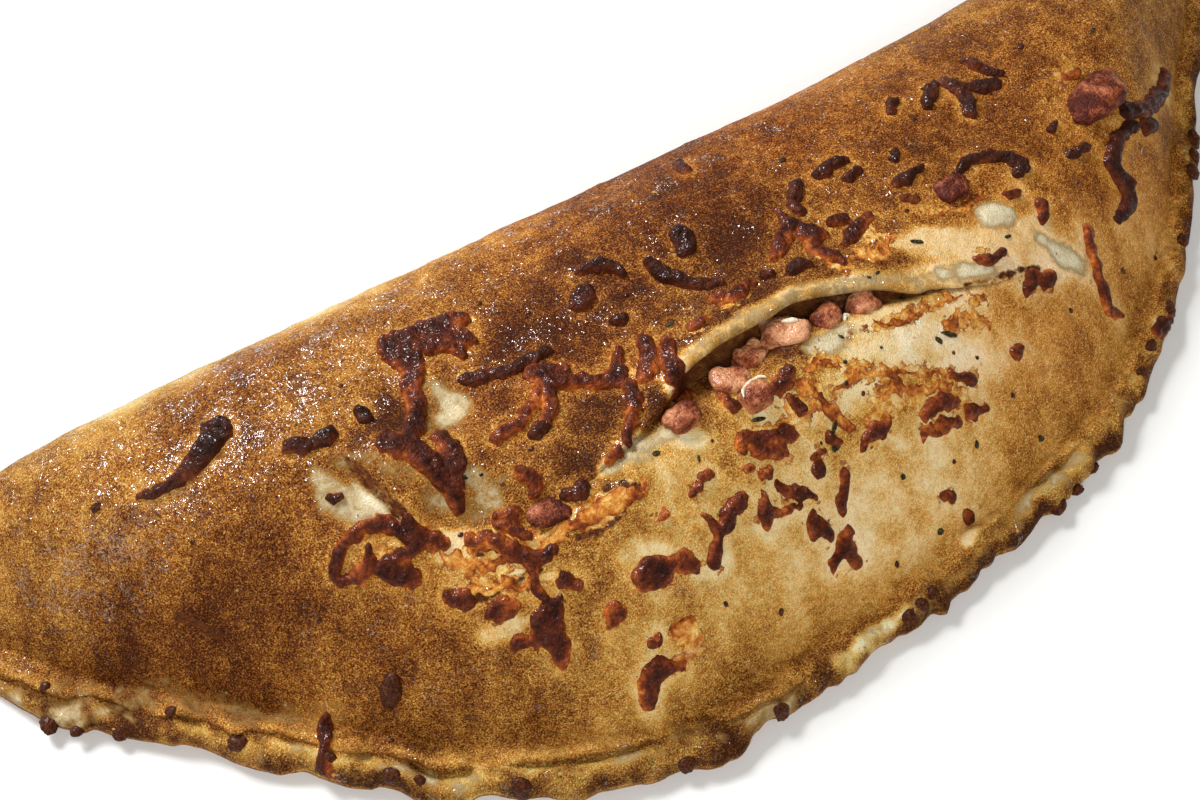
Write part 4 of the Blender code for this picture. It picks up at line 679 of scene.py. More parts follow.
# Oil on the crust: base, and spots as above.
GLOSS_BASE = 0.06
GLOSS = (
    (-98, 19, 34, 10, 0.62), (-122, -1, 30, 11, -0.5), (-85, 42, 40, 9, 0.35), (-120, 20, 12, 9, 0.26),
    (-74, 26, 18, 8, 0.26), (-40, 30, 22, 7, 0.18), (-30, 12, 10, 5, 0.28), (-60, 10, 30, 12, 0.1),
    (0, 40, 60, 10, 0.08), (115, 16, 36, 24, -0.1), (-104, -12, 16, 10, -0.08),
)
# The fold's steep side: from this distance inside the fold, over this distance, and how far the spots fade.
FOLD_SIDE_FROM, FOLD_SIDE_OVER, FOLD_SIDE_FADE = 1.5, 5.0, 0.85
# Random unevenness of the browning: size, strength. Then that of the pale runs and of the lip, likewise.
BROWNING_UNEVEN = ((9.0, 0.07), (4.2, 0.09), (2.1, 0.08))
PALE_UNEVEN = ((2.3, 0.10), (5.0, 0.08))
LIP_UNEVEN = ((4.0, 0.22), (1.8, 0.16))
PALE_LEVEL, PALE_SHARE = 0.12, 0.9
LIP_DARKER = 0.07
# How much browner the lip's outer edge is at most, and how far inwards.
EDGE_DARKER, EDGE_REACH = 0.35, 2.2
# The halo round the cheese: how much paler, how wide.
HALO_STRENGTH, HALO_REACH = 0.26, 1.8
# The open seam: level and share of its pale band, of the overlap's edge behind it and of the painted shade in
# the crease between.
BAND_LEVEL, BAND_SHARE = 0.22, 0.75
INNER_LEVEL, INNER_SHARE = 0.36, 0.6
CREASE_SHADE_LEVEL, CREASE_SHADE_SHARE = 0.85, 0.8
# The seam shows pale and raw dough up to this x, and less and less before it.
PALE_SEAM_END, PALE_SEAM_FADE = 90.0, 20.0
SEAM_WHITENESS = 0.60
# The film's fringe round the shreds: how strong, how wide.
FRINGE_STRENGTH, FRINGE_REACH = 0.28, 0.8
# The lift from which the flap's rim is fully rolled and the painted shade on its face is at full strength.
ROLL_AND_SHADE_LIFT = 1.2
# How much more olive the lip is.
LIP_OLIVE = 0.35
# The farthest from the dark lines that is told apart, and what all the crust's values are at its two tips.
OFF_LINE_MOST = 3.0
TIP_VALUE = 0.6


def on_lip(behind):
    """1 on the lip before the dome's lower edge, 0 behind it."""
    return ease((0.4 - behind) / 1.6)


def on_pale_seam(x):
    """1 along most of the seam, 0 beyond the x where its pale dough ends."""
    return ease((PALE_SEAM_END - x) / PALE_SEAM_FADE)


def drawn(level, towards, share):
    """The level, drawn by a share towards another."""
    return level + (towards - level) * share


def browning(x, y, inside):
    """How brown the crust is at x, y: spots and random unevenness on a base, drawn paler along the pale runs,
    along the open seam and round the cheese, browner at the lip's outer edge, and darker in the seam's
    crease, where that darkening is painted shade.

    On the steep side of the fold the spots fade, and the unevenness is read from the point in space."""
    side = 1 - ease((distances(x, y)[1] - FOLD_SIDE_FROM) / FOLD_SIDE_OVER)
    level = BROWNING_BASE + spots(x, y, BROWNING) * (1 - FOLD_SIDE_FADE * side)
    points = np.stack([x, y, top(x, y)], -1)
    for size, strength in BROWNING_UNEVEN:
        seed = SEED + 20 + int(size)
        uneven = noise(x, y, size, seed) * (1 - side) + 1.2 * noise_3d(points, size, seed) * side
        level = level + strength * uneven
    wander = 0.9 * noise(x, y, 3.4, SEED + 22)
    pale = ease(0.7 - (outside(x, y, PALE_RUNS, reach=6.0) + wander) / 2.0)
    level = drawn(level, PALE_LEVEL + swells(x, y, PALE_UNEVEN, SEED + 28), PALE_SHARE * pale)
    halo = bell(np.maximum(outside(x, y, CHARRED + BROWNED) + 0.8 * wander, 0) / HALO_REACH)
    level = level - HALO_STRENGTH * halo * ease(level / 0.5) * (0.7 + 0.5 * noise(x, y, 7.0, SEED + 30))
    behind, stands_open = overlap(x, inside)
    level = level + on_lip(behind) * (LIP_DARKER + swells(x, y, LIP_UNEVEN, SEED + 35))
    band = bell((behind + 2.3 + 1.2 * wander) / 2.0) * ease(0.25 + 1.4 * stands_open)
    broken = ease(0.65 + 1.4 * noise(x, 12.0, 7.0, SEED + 33) + 0.5 * noise(x, y, 2.0, SEED + 34))
    level = drawn(level, BAND_LEVEL, BAND_SHARE * band * broken * on_pale_seam(x))
    inner = bell((behind - 0.8) / 1.4) * ease(1.2 * stands_open)
    level = drawn(level, INNER_LEVEL, INNER_SHARE * inner)
    # Painted shade in the seam's crease, where the dome's edge laps over the lip.
    crease_shade = bell((behind + 0.5 * GROOVE_WIDTH) / 0.5) * ease(1.6 * stands_open)
    crease_shade = crease_shade * (0.7 + 0.5 * noise(x, 30.0, 4.0, SEED + 32))
    level = drawn(level, CREASE_SHADE_LEVEL, CREASE_SHADE_SHARE * crease_shade)
    outer = ease((EDGE_REACH - inside) / EDGE_REACH) * (inside > 0)
    outer = outer * (0.5 + 0.5 * noise(x, 70.0, 6.0, SEED + 25))
    return np.clip(level + EDGE_DARKER * outer, 0.0, 1.0)


def raw_dough(x, y, inside):
    """Where raw dough shows, and how white it is: the palest of the runs and of patches along the seam."""
    wander = 0.8 * noise(x, y, 2.6, SEED + 26)
    shown = [whiteness * ease(0.66 - (outside(x, y, (run,), reach=5.0) + wander) / 3.0)
             for whiteness, run in RAW_RUNS]
    behind, stands_open = overlap(x, inside)
    patches = ease(0.9 * noise(x, y, 5.0, SEED + 27) + 0.8 * noise(x, y, 2.2, SEED + 31) + 0.5)
    band = bell((behind + 2.2) / 1.8) * ease(0.3 + 1.5 * stands_open) * on_pale_seam(x)
    return np.max(shown + [SEAM_WHITENESS * patches * band], axis=0)


def film(x, y):
    """How much melted cheese covers the crust as a toasted film: spots, and a fringe round the shreds."""
    fringe = bell(np.maximum(outside(x, y, BROWNED + MELTED) - 0.2, 0) / FRINGE_REACH)
    return np.clip(spots(x, y, FILM) + FRINGE_STRENGTH * fringe, 0.0, 1.0)


def off_line(x, y):
    """Distance from the thin dark lines, from -1 inside them up to a most."""
    return np.clip(outside(x, y, LINES, reach=OFF_LINE_MOST), -1.0, OFF_LINE_MOST)


# ---------------------------------------------------------------- meshes


def surface(name, points, quads, triangles, material, **values):
    """A closed, smooth mesh of points in millimetres, its faces turned outwards, and values at its points."""
    points = np.asarray(points, float).reshape(-1, 3)
    corners = np.concatenate([quads[:, (0, 1, 2)], quads[:, (0, 2, 3)], triangles])
    one, two, three = (points[corners[:, k]] for k in range(3))
    if (one * np.cross(two, three)).sum() < 0:
        quads, triangles = quads[:, ::-1], triangles[:, ::-1]
    mesh = bpy.data.meshes.new(name)
    mesh.vertices.add(len(points))
    mesh.vertices.foreach_set("co", (points * MM).ravel())
    loops = np.concatenate([quads.ravel(), triangles.ravel()])
    mesh.loops.add(len(loops))
    mesh.loops.foreach_set("vertex_index", loops.astype(np.int32))
    starts = np.concatenate([np.arange(len(quads)) * 4, len(quads) * 4 + np.arange(len(triangles)) * 3])
    mesh.polygons.add(len(starts))
    mesh.polygons.foreach_set("loop_start", starts.astype(np.int32))
    mesh.update(calc_edges=True)
    mesh.validate()
    mesh.shade_smooth()
    for key, value in values.items():
        data = mesh.attributes.new(key, "FLOAT", "POINT").data
        data.foreach_set("value", np.ravel(value).astype(np.float32))
    mesh.materials.append(material)
    piece = bpy.data.objects.new(name, mesh)
    bpy.context.scene.collection.objects.link(piece)
    return piece


def ring_quads(rings, sides):
    """Quads of a tube of closed rings, and the fans that close it at a pole before and a pole after."""
    ring, side = np.meshgrid(np.arange(rings - 1), np.arange(sides), indexing="ij")
    here, there = 1 + ring * sides, 1 + (ring + 1) * sides
    ahead = (side + 1) % sides
    quads = np.stack([here + side, here + ahead, there + ahead, there + side], -1).reshape(-1, 4)
    side = np.arange(sides)
    ahead, last = (side + 1) % sides, rings * sides + 1
    first_fan = np.stack([np.zeros_like(side), 1 + ahead, 1 + side], -1)
    last_fan = np.stack([last - sides + side, last - sides + ahead, np.full_like(side, last)], -1)
    return quads, np.concatenate([first_fan, last_fan])


def rolled(y, z, first, last, radius, hollow, weight):
    """Bends the rows after first up to last, which go down a step, into a rolled rim over a hollow.

    The rim goes round a circle from its top to its underside. A curve of three points then leads back under
    it and out again to the last row."""
    share = np.linspace(0, 1, last - first + 1)[1:]
    top_y, top_z, foot_y, foot_z = y[:, [first]], z[:, [first]], y[:, [last]], z[:, [last]]
    radius = np.clip(ROLL_MOST * (top_z - foot_z), 0, radius)
    angle = np.pi / 2 - ROLL_TURN * np.clip(share / ROLL_SHARE, 0, 1)
    round_y, round_z = top_y - radius * np.cos(angle), top_z - radius + radius * np.sin(angle)
    on = np.clip((share - ROLL_SHARE) / (1 - ROLL_SHARE), 0, 1)
    bend_y, bend_z = top_y + hollow, (1 - ROLL_BEND) * round_z[:, -1:] + ROLL_BEND * foot_z
    rows = slice(first + 1, last + 1)
    for kept, rim, bend, foot in ((y, round_y, bend_y, foot_y), (z, round_z, bend_z, foot_z)):
        back = (1 - on) ** 2 * rim[:, -1:] + 2 * on * (1 - on) * bend + on**2 * foot
        kept[:, rows] += weight * (np.where(share <= ROLL_SHARE, rim, back) - kept[:, rows])


def crust(material):
    """The folded dough: closed sections along x, each from the fold over the dome to the lip and back below.

    Rows crowd at the fold, at the slit's edge and where the dome laps over the lip. Both edges are rolled
    rims. Waves and bulges push the lip's outline out. Below, each section turns in by a quarter circle at
    both edges and is flat between."""
    share = np.linspace(0, 1, CRUST_STATIONS + 2)[1:-1, None]
    x = -HALF_LENGTH * (END_CROWDING * np.cos(np.pi * share) + (1 - END_CROWDING) * (1 - 2 * share))
    lip, fold = edges(x)
    slit, lift = column_at(SLIT, 1, x), column_at(SLIT, 4, x)
    lap, stands_open = column_at(OVERLAP, 1, x), column_at(OVERLAP, 2, x)
    rim = np.minimum(RIM_REACH, RIM_MOST * (fold - slit))
    face = np.minimum(FLAP_THICKNESS + 0.1, FACE_MOST * (slit - lip))
    groove = np.minimum(GROOVE_WIDTH, GROOVE_MOST * (slit - lip))
    slope = (edges(x + 0.3)[0] - edges(x - 0.3)[0]) / 0.6
    lap = lip + np.minimum(lap * np.hypot(1, slope), LAP_MOST * (slit - lip))
    y = [fold]
    for start, end, rows, crowd_start, crowd_end in (
        (fold, slit + rim, BACK_ROWS, ROW_CROWDING, 1),
        (slit + rim, slit, RIM_ROWS, 1, 1),
        (slit, slit - face, FACE_ROWS, 1, 1),
        (slit - face, lap + groove, FRONT_ROWS, 1, 1),
        (lap + groove, lap, APPROACH_ROWS, 1, 1),
        (lap, lap - groove, GROOVE_ROWS, 1, 1),
        (lap - groove, lip, LIP_ROWS, 1, ROW_CROWDING),
    ):
        t = np.linspace(0, 1, rows + 1)[1:]
        y.append(start + (end - start) * (1 - (1 - t**crowd_start) ** crowd_end))
    y = np.concatenate(y, axis=1)
    at_slit = BACK_ROWS + RIM_ROWS
    at_lap = at_slit + FACE_ROWS + FRONT_ROWS + APPROACH_ROWS
    x = x + 0 * y
    z = top(x, y)
    inside = distances(x, y)[0]
    brown = browning(x, y, inside)
    gloss = np.clip(GLOSS_BASE + spots(x, y, GLOSS), -0.5, 1)
    covered, raw = film(x, y), raw_dough(x, y, inside)
    # Sauce and painted shade under the flap's rim, along the runs, with uneven edges.
    sauce = ease(0.6 - (outside(x, y, SAUCE_AND_SHADE_RUNS) + 0.7 * noise(x, y, 2.4, SEED + 23)) / 1.6)
    lifted = ease(lift / ROLL_AND_SHADE_LIFT)
    # Painted shade on the rim's face rows: darker down its front and darkest where it turns under, as the
    # flap lifts.
    down = np.linspace(0, 1, FACE_ROWS)
    shaded = lifted * (0.40 * ease((down - 0.10) / 0.25) + 0.5 * ease((down - 0.42) / 0.12))
    face_rows = slice(at_slit + 1, at_slit + FACE_ROWS + 1)
    sauce[:, face_rows] = np.maximum(sauce[:, face_rows], shaded)

    rolled(y, z, at_slit, at_slit + FACE_ROWS, RIM_RADIUS, RIM_HOLLOW, lifted)
    rolled(y, z, at_lap, at_lap + GROOVE_ROWS, GROOVE_RADIUS, GROOVE_HOLLOW, ease(1.4 * stands_open))
    ragged = sum(push * noise(x, row, size, seed) for push, size, row, seed in LIP_WAVES)
    ragged = ragged * np.minimum(1, (fold - lip) / 20)
    ragged = ragged + sum(push * bell((x - middle) / reach) for middle, reach, push in LIP_BULGES)
    y = y - ragged * np.exp(-np.maximum(inside, 0) / LIP_WAVES_REACH)
    # The red attribute: redness, less on the lip, and a painted sheen along the left ridge.
    red = np.clip(spots(x, y, REDNESS_AND_SHEEN) - LIP_OLIVE * on_lip(overlap(x, inside)[0]), -1, 1)

    edge, edge_height, fold_height = y[:, -1:], z[:, -1:], z[:, :1]
    inset = np.minimum(UNDERCUT, UNDERCUT_SHARE * (fold - lip))
    lip_inset = np.minimum(LIP_INSET, LIP_INSET_SHARE * (fold - lip))
    turn = np.linspace(0, np.pi / 2, UNDER_LIP_ROWS + 1)[1:]
    flat = np.linspace(0, 1, FLAT_ROWS + 1)[1:]
    rise = np.linspace(0, np.pi / 2, UNDERCUT_ROWS + 2)[1:-1]
    under_y = np.concatenate([
        edge + lip_inset * (1 - np.cos(turn)),
        edge + lip_inset + flat * (fold - inset - edge - lip_inset),
        fold - inset * (1 - np.sin(rise)),
    ], axis=1)
    under_z = np.concatenate([
        edge_height * (1 - np.sin(turn)), 0 * flat + 0 * edge, fold_height * (1 - np.cos(rise)),
    ], axis=1)
    under_x = x[:, :1] + 0 * under_y
    under_brown = np.clip(BROWNING_BASE + 0.10 * noise(under_x, under_y, 8.0, SEED + 24), 0, 1)

    pairs = ((x, under_x), (y, under_y), (z, under_z))
    rings = np.stack([np.concatenate(pair, axis=1) for pair in pairs], -1)
    left = [(-HALF_LENGTH, LIP_EDGE[0], LIP_HEIGHT / 2)]
    right = [(HALF_LENGTH, LIP_EDGE[-1], LIP_HEIGHT / 2)]

    def padded(upper, under):
        """A value in the order of the points: the left tip, the sections, the right tip."""
        under = under + 0 * under_brown
        return np.concatenate([[TIP_VALUE], np.concatenate([upper, under], axis=1).ravel(), [TIP_VALUE]])

    quads, fans = ring_quads(rings.shape[0], rings.shape[1])
    return surface("baked_crust", np.concatenate([left, rings.reshape(-1, 3), right]), quads, fans, material,
                   brown=padded(brown, under_brown), gloss=padded(gloss, 0.1), sauce=padded(sauce, 0),
                   film=padded(covered, 0), raw=padded(raw, 0), red=padded(red, 0.2),
                   off_line=padded(off_line(x, y), OFF_LINE_MOST))


def over_crust(x, y, thickness):
    """Points at a thickness above the crust, measured square to its surface."""
    step = 0.4
    slope_x = (top(x + step, y) - top(x - step, y)) / (2 * step)
    slope_y = (top(x, y + step) - top(x, y - step)) / (2 * step)
    long = np.sqrt(1 + slope_x**2 + slope_y**2)
    return np.stack([x - slope_x / long * thickness, y - slope_y / long * thickness,
                     top(x, y) + thickness / long], -1)


def sheet_faces(keep):
    """Faces of a closed sheet over the kept corners of a grid: its upper side, its lower side and its rim.

    Upper points come first, then lower ones in the same order. A cell shows when its four corners are kept,
    and cells that would meet at one corner alone are joined by a third."""
    cells = keep[:-1, :-1] & keep[1:, :-1] & keep[:-1, 1:] & keep[1:, 1:]
    for _ in range(4):
        one, two, three, four = cells[:-1, :-1], cells[1:, 1:], cells[1:, :-1], cells[:-1, 1:]
        cells[1:, :-1] |= one & two & ~three & ~four
        cells[:-1, :-1] |= three & four & ~one & ~two
    corner = np.zeros(keep.shape, bool)
    for i in (0, 1):
        for j in (0, 1):
            corner[i:i + cells.shape[0], j:j + cells.shape[1]] |= cells
    number = np.cumsum(corner.ravel()).reshape(keep.shape) - 1
    count = int(corner.sum())
    a, b, c, d = number[:-1, :-1], number[1:, :-1], number[1:, 1:], number[:-1, 1:]
    upper = np.stack([a[cells], b[cells], c[cells], d[cells]], -1)
    ringed = np.pad(cells, 1)
    inner = ringed[1:-1, 1:-1]
    rims = []
    for start, end, beyond in ((a, b, ringed[1:-1, :-2]), (b, c, ringed[2:, 1:-1]),
                               (c, d, ringed[1:-1, 2:]), (d, a, ringed[:-2, 1:-1])):
        open_side = inner & ~beyond
        rims.append(np.stack([start[open_side] + count, end[open_side] + count, end[open_side],
                              start[open_side]], -1))
    return corner, np.concatenate([upper, upper[:, ::-1] + count] + rims)


def cheese_sheet(name, runs, height, ragged, seed, material):
    """Cheese as one sheet over the crust: thickness is height times a round shoulder of the depth inside the
    runs' wavering outline, times lumps. Outside the outline the sheet dips below the crust and ends there."""
    every = np.concatenate([np.asarray(run) for run in runs])
    low, high = every.min(0) - CHEESE_MARGIN, every.max(0) + CHEESE_MARGIN
    x, y = np.meshgrid(np.arange(low[0], high[0], CHEESE_STEP), np.arange(low[1], high[1], CHEESE_STEP),
                       indexing="ij")
    waver_x, waver_y = (ragged * swells(x, y, CHEESE_WAVER, seed + k) for k in (0, 2))
    depth = -outside(x + waver_x, y + waver_y, runs)
    lip, fold = edges(np.clip(x, -HALF_LENGTH + 0.6, HALF_LENGTH - 0.6))
    keep = (depth > -CHEESE_SKIRT) & (y > lip + 0.3) & (y < fold - 1.0)
    corner, quads = sheet_faces(keep)
    x, y, depth = x[corner], y[corner], depth[corner]
    shoulder = np.sqrt(1 - (1 - np.clip(depth / CHEESE_SHOULDER, 0, 1)) ** 2)
    lumpy = 1 + swells(x, y, CHEESE_LUMPS, seed + 4)
    thickness = np.where(depth > 0, height * shoulder * lumpy, CHEESE_DIP * depth)
    upper, lower = over_crust(x, y, thickness), over_crust(x, y, 0 * x - CHEESE_ROOT)
    none = np.zeros((0, 3), int)
    rim = np.clip(depth / CHEESE_RIM, 0, 1)
    toast = 0.5 + 0.5 * noise(x, y, TOAST_SIZE, seed + 6)
    return surface(name, np.concatenate([upper, lower]), quads, none, material,
                   rim=np.concatenate([rim, rim]), toast=np.concatenate([toast, toast]))


def ball(rings, sides):
    """Directions to the points of a ball: the lower pole, rings from low to high latitude, the upper pole."""
    latitude = np.radians(np.linspace(-90, 90, rings + 2)[1:-1])[:, None]
    around = np.linspace(0, 2 * np.pi, sides, endpoint=False)[None, :]
    aim = np.stack([np.cos(latitude) * np.cos(around), np.cos(latitude) * np.sin(around),
                    np.sin(latitude) + 0 * around]).reshape(3, -1).T
    return np.concatenate([[[0.0, 0.0, -1.0]], aim, [[0.0, 0.0, 1.0]]])


def ham_piece(name, place, number, material):
    """A rounded dice with uneven, fibrous sides: a ball stretched to a box with broad swells and small lumps.

    Its radius in a direction is (sum of |direction|^squareness)^(-1 / squareness). Each swell is a cosine of
    the way along a random direction."""
    x, y, length, width, height, turn, share = place
    draw = np.random.default_rng(SEED + 100 + number)
    aim = ball(HAM_RINGS, HAM_SIDES)
    box = (np.abs(aim) ** HAM_SQUARENESS).sum(1) ** (-1 / HAM_SQUARENESS)
    swell = 0.0
    for _ in range(HAM_SWELLS):
        size, tightness = draw.uniform(*SWELL_SIZE), draw.uniform(*SWELL_TIGHTNESS)
        across = (aim * draw.normal(size=3)).sum(1)
        swell = swell + size * np.cos(tightness * across + draw.uniform(0, 6))
    body = aim * (box * (0.92 + swell))[:, None] * (np.array([length, width, height]) / 2)
    lumpy = 1 + 0.07 * noise_3d(body, 1.9, SEED + 60 + number) + 0.035 * noise_3d(body, 0.8, SEED + 80)
    body = body * lumpy[:, None]
    turn = np.radians(turn)
    spun = body @ np.array([[np.cos(turn), np.sin(turn), 0], [-np.sin(turn), np.cos(turn), 0], [0, 0, 1]])
    lift = float(top(x, y)) + (share - 0.5) * height
    sear = HAM_SEAR[number] + 0.5 + 0.5 * noise_3d(body + 40.0, 2.6, SEED + 70 + number)
    quads, fans = ring_quads(HAM_RINGS, HAM_SIDES)
    return surface(name, spun + (x, y, lift), quads, fans, material, sear=sear)


def lumps(name, table, bulk, material, seed, rings=5, sides=8, uneven=0.22):
    """Small closed balls that lie on the crust, one for each row of x, y, length, width, height, turn.

    Each is a ball, stretched by random amounts, whose plan is laid on the crust's surface. The share bulk of
    its height stands above the surface."""
    table = np.asarray(table, float)
    aim = ball(rings, sides)
    x, y, length, width, height, turn = (table[:, k, None] for k in range(6))
    stretch = 1 + uneven * np.random.default_rng(seed).uniform(-1, 1, (len(table), len(aim)))
    u, v = aim[:, 0] * stretch * length / 2, aim[:, 1] * stretch * width / 2
    turn = np.radians(turn)
    u, v = x + u * np.cos(turn) - v * np.sin(turn), y + u * np.sin(turn) + v * np.cos(turn)
    points = over_crust(u, v, (aim[:, 2] * stretch / 2 + bulk - 0.5) * height)
    quads, fans = ring_quads(rings, sides)
    start = np.arange(len(table))[:, None, None] * len(aim)
    return surface(name, points, (quads + start).reshape(-1, 4), (fans + start).reshape(-1, 3), material)


def ham_cover(x, y):
    """Height of whatever is uppermost at x, y: the crust or a ham dice, taken a little smaller than it is."""
    cover = top(x, y)
    for middle_x, middle_y, length, width, height, turn, share in HAM:
        turn = np.radians(turn)
        along = (x - middle_x) * np.cos(turn) + (y - middle_y) * np.sin(turn)
        across = (y - middle_y) * np.cos(turn) - (x - middle_x) * np.sin(turn)
        out = np.abs(2.1 * along / length) ** HAM_SQUARENESS + np.abs(2.1 * across / width) ** HAM_SQUARENESS
        rise = 0.48 * height * (1 - np.clip(out, 0, 1)) ** (1 / HAM_SQUARENESS)
        ham = top(middle_x, middle_y) + (share - 0.5) * height + rise
        cover = np.where(out < 1, np.maximum(cover, ham), cover)
    return cover


def threads(name, runs, material):
    """Thin tubes along the runs, each lying on the crust or on the ham below it, closed by short points.

    A tube's level is what lies below it plus half its radius, evened out over five rings."""
    around = np.linspace(0, 2 * np.pi, THREAD_SIDES, endpoint=False)
    points, quads, fans, start = [], [], [], 0
    for run in runs:
        x, y, radius = circles_along(run, THREAD_SPACING)
        heading = np.arctan2(np.gradient(y), np.gradient(x))
        level = ham_cover(x, y) + 0.5 * radius
        level = np.convolve(np.pad(level, 2, mode="edge"), np.full(5, 0.2), mode="valid")
        ring = np.stack([x[:, None] - np.outer(radius * np.sin(heading), np.cos(around)),
                         y[:, None] + np.outer(radius * np.cos(heading), np.cos(around)),
                         level[:, None] + np.outer(radius, np.sin(around))], -1)
        middle = ring.mean(1)
        ahead = THREAD_TIP * np.stack([np.cos(heading), np.sin(heading), 0 * heading], -1)
        points += [middle[:1] - ahead[:1], ring.reshape(-1, 3), middle[-1:] + ahead[-1:]]
        run_quads, run_fans = ring_quads(len(x), THREAD_SIDES)
        quads, fans = quads + [run_quads + start], fans + [run_fans + start]
        start += len(x) * THREAD_SIDES + 2
    return surface(name, np.concatenate(points), np.concatenate(quads), np.concatenate(fans), material)


# ---------------------------------------------------------------- materials


def colour(red, green, blue):
    """Linear colour from everyday 0 to 255 values."""
    share = np.array((red, green, blue)) / 255
    linear = np.where(share <= 0.04045, share / 12.92, ((share + 0.055) / 1.055) ** 2.4)
    return (*linear.tolist(), 1.0)


def feed(tree, node, inputs):
    """Gives inputs of a node a value each, or another node's output."""
    for key, value in inputs.items():
        if isinstance(value, bpy.types.NodeSocket):
            tree.links.new(value, node.inputs[key])
        else:
            node.inputs[key].default_value = value


def add(tree, kind, inputs=None, **settings):
    """A node with its settings and inputs."""
    node = tree.nodes.new(kind)
    for key, value in settings.items():
        setattr(node, key, value)
    feed(tree, node, inputs or {})
    return node


def calculate(tree, operation, one, two=0.0, three=0.0):
    """The result of a Math node on up to three values or outputs."""
    return add(tree, "ShaderNodeMath", {0: one, 1: two, 2: three}, operation=operation).outputs[0]


def plus(tree, value, factor, rest):
    """The value times a factor, plus the rest."""
    return calculate(tree, "MULTIPLY_ADD", value, factor, rest)


def centred(tree, value):
    """A value from 0 to 1, less a half."""
    return calculate(tree, "SUBTRACT", value, 0.5)


def between(tree, value, low, high, to_low=0.0, to_high=1.0):
    """The value's place from low to high, held to those ends, as a number from to_low to to_high."""
    return add(tree, "ShaderNodeMapRange", {
        "Value": value, "From Min": low, "From Max": high, "To Min": to_low, "To Max": to_high,
    }).outputs["Result"]


def bumped(tree, height, depth):
    """The normal of a surface raised by a height from 0 to 1 times a depth in metres."""
    bump = add(tree, "ShaderNodeBump", {"Height": height, "Strength": 1.0, "Distance": depth})
    return bump.outputs["Normal"]


def reading(tree, name):
    """A point attribute of the mesh."""
    return add(tree, "ShaderNodeAttribute", attribute_name=name).outputs["Fac"]


def ramp(tree, value, stops):
    """A colour ramp through stops of place and everyday colour."""
    node = add(tree, "ShaderNodeValToRGB", {"Fac": value})
    marks = node.color_ramp.elements
    while len(marks) < len(stops):
        marks.new(0.5)
    for mark, (place, shade) in zip(marks, stops):
        mark.position = place
        mark.color = colour(*shade)
    return node.outputs["Color"]


def mix(tree, share, one, two, blend="MIX"):
    """Colour one where share is 0, colour two, or its blend with one, where it is 1."""
    inputs = {0: share, 6: one, 7: two}
    return add(tree, "ShaderNodeMix", inputs, data_type="RGBA", blend_type=blend).outputs[2]


def grain_group():
    """Shared grain: fine grit and broader mottling, each from 0 to 1, and their mixed height."""
    group = bpy.data.node_groups.new("grain", "ShaderNodeTree")
    group.interface.new_socket("Fineness", in_out="INPUT", socket_type="NodeSocketFloat")
    for name in ("Grit", "Mottle", "Height"):
        group.interface.new_socket(name, in_out="OUTPUT", socket_type="NodeSocketFloat")
    fineness = add(group, "NodeGroupInput").outputs["Fineness"]
    place = add(group, "ShaderNodeTexCoord").outputs["Object"]
    grit = add(group, "ShaderNodeTexNoise", {
        "Vector": place, "Scale": fineness, "Detail": 2.0, "Roughness": 0.55}).outputs["Fac"]
    broader = calculate(group, "MULTIPLY", fineness, 0.24)
    mottle = add(group, "ShaderNodeTexNoise", {
        "Vector": place, "Scale": broader, "Detail": 3.0, "Roughness": 0.6}).outputs["Fac"]
    add(group, "NodeGroupOutput", {"Grit": grit, "Mottle": mottle, "Height": plus(group, grit, 1.2, mottle)})
    return group


def finish(name):
    """A new material, its tree and its shader."""
    material = bpy.data.materials.new(name)
    material.use_nodes = True
    return material, material.node_tree, material.node_tree.nodes["Principled BSDF"]


def grain_of(tree, group, fineness):
    """The shared grain placed in a material."""
    return add(tree, "ShaderNodeGroup", {"Fineness": fineness}, node_tree=group).outputs


CRUST_COLOURS = (
    (0.00, (246, 232, 196)),
    (0.12, (234, 208, 152)),
    (0.25, (215, 170, 92)),
    (0.38, (193, 141, 62)),
    (0.50, (168, 114, 48)),
    (0.62, (141, 89, 35)),
    (0.74, (115, 66, 25)),
    (0.87, (86, 44, 15)),
    (1.00, (56, 25, 9)),
)
# The crust's tint from -1, olive, over 0, as above, to 1, reddish.
TINTS = ((0.0, (205, 240, 255)), (0.5, (255, 255, 255)), (1.0, (255, 221, 192)))
LINE_COLOURS = ((0.2, (52, 26, 12)), (0.5, (88, 46, 22)), (0.8, (140, 80, 38)))
RAW_COLOURS = ((0.2, (164, 118, 54)), (0.4, (162, 128, 72)), (0.6, (172, 148, 106)), (0.8, (206, 188, 148)),
               (1.0, (228, 215, 180)))
FILM_COLOURS = ((0.0, (96, 42, 16)), (0.25, (146, 74, 26)), (0.45, (190, 114, 40)), (0.65, (214, 152, 66)),
                (0.85, (228, 184, 104)), (1.0, (234, 202, 138)))


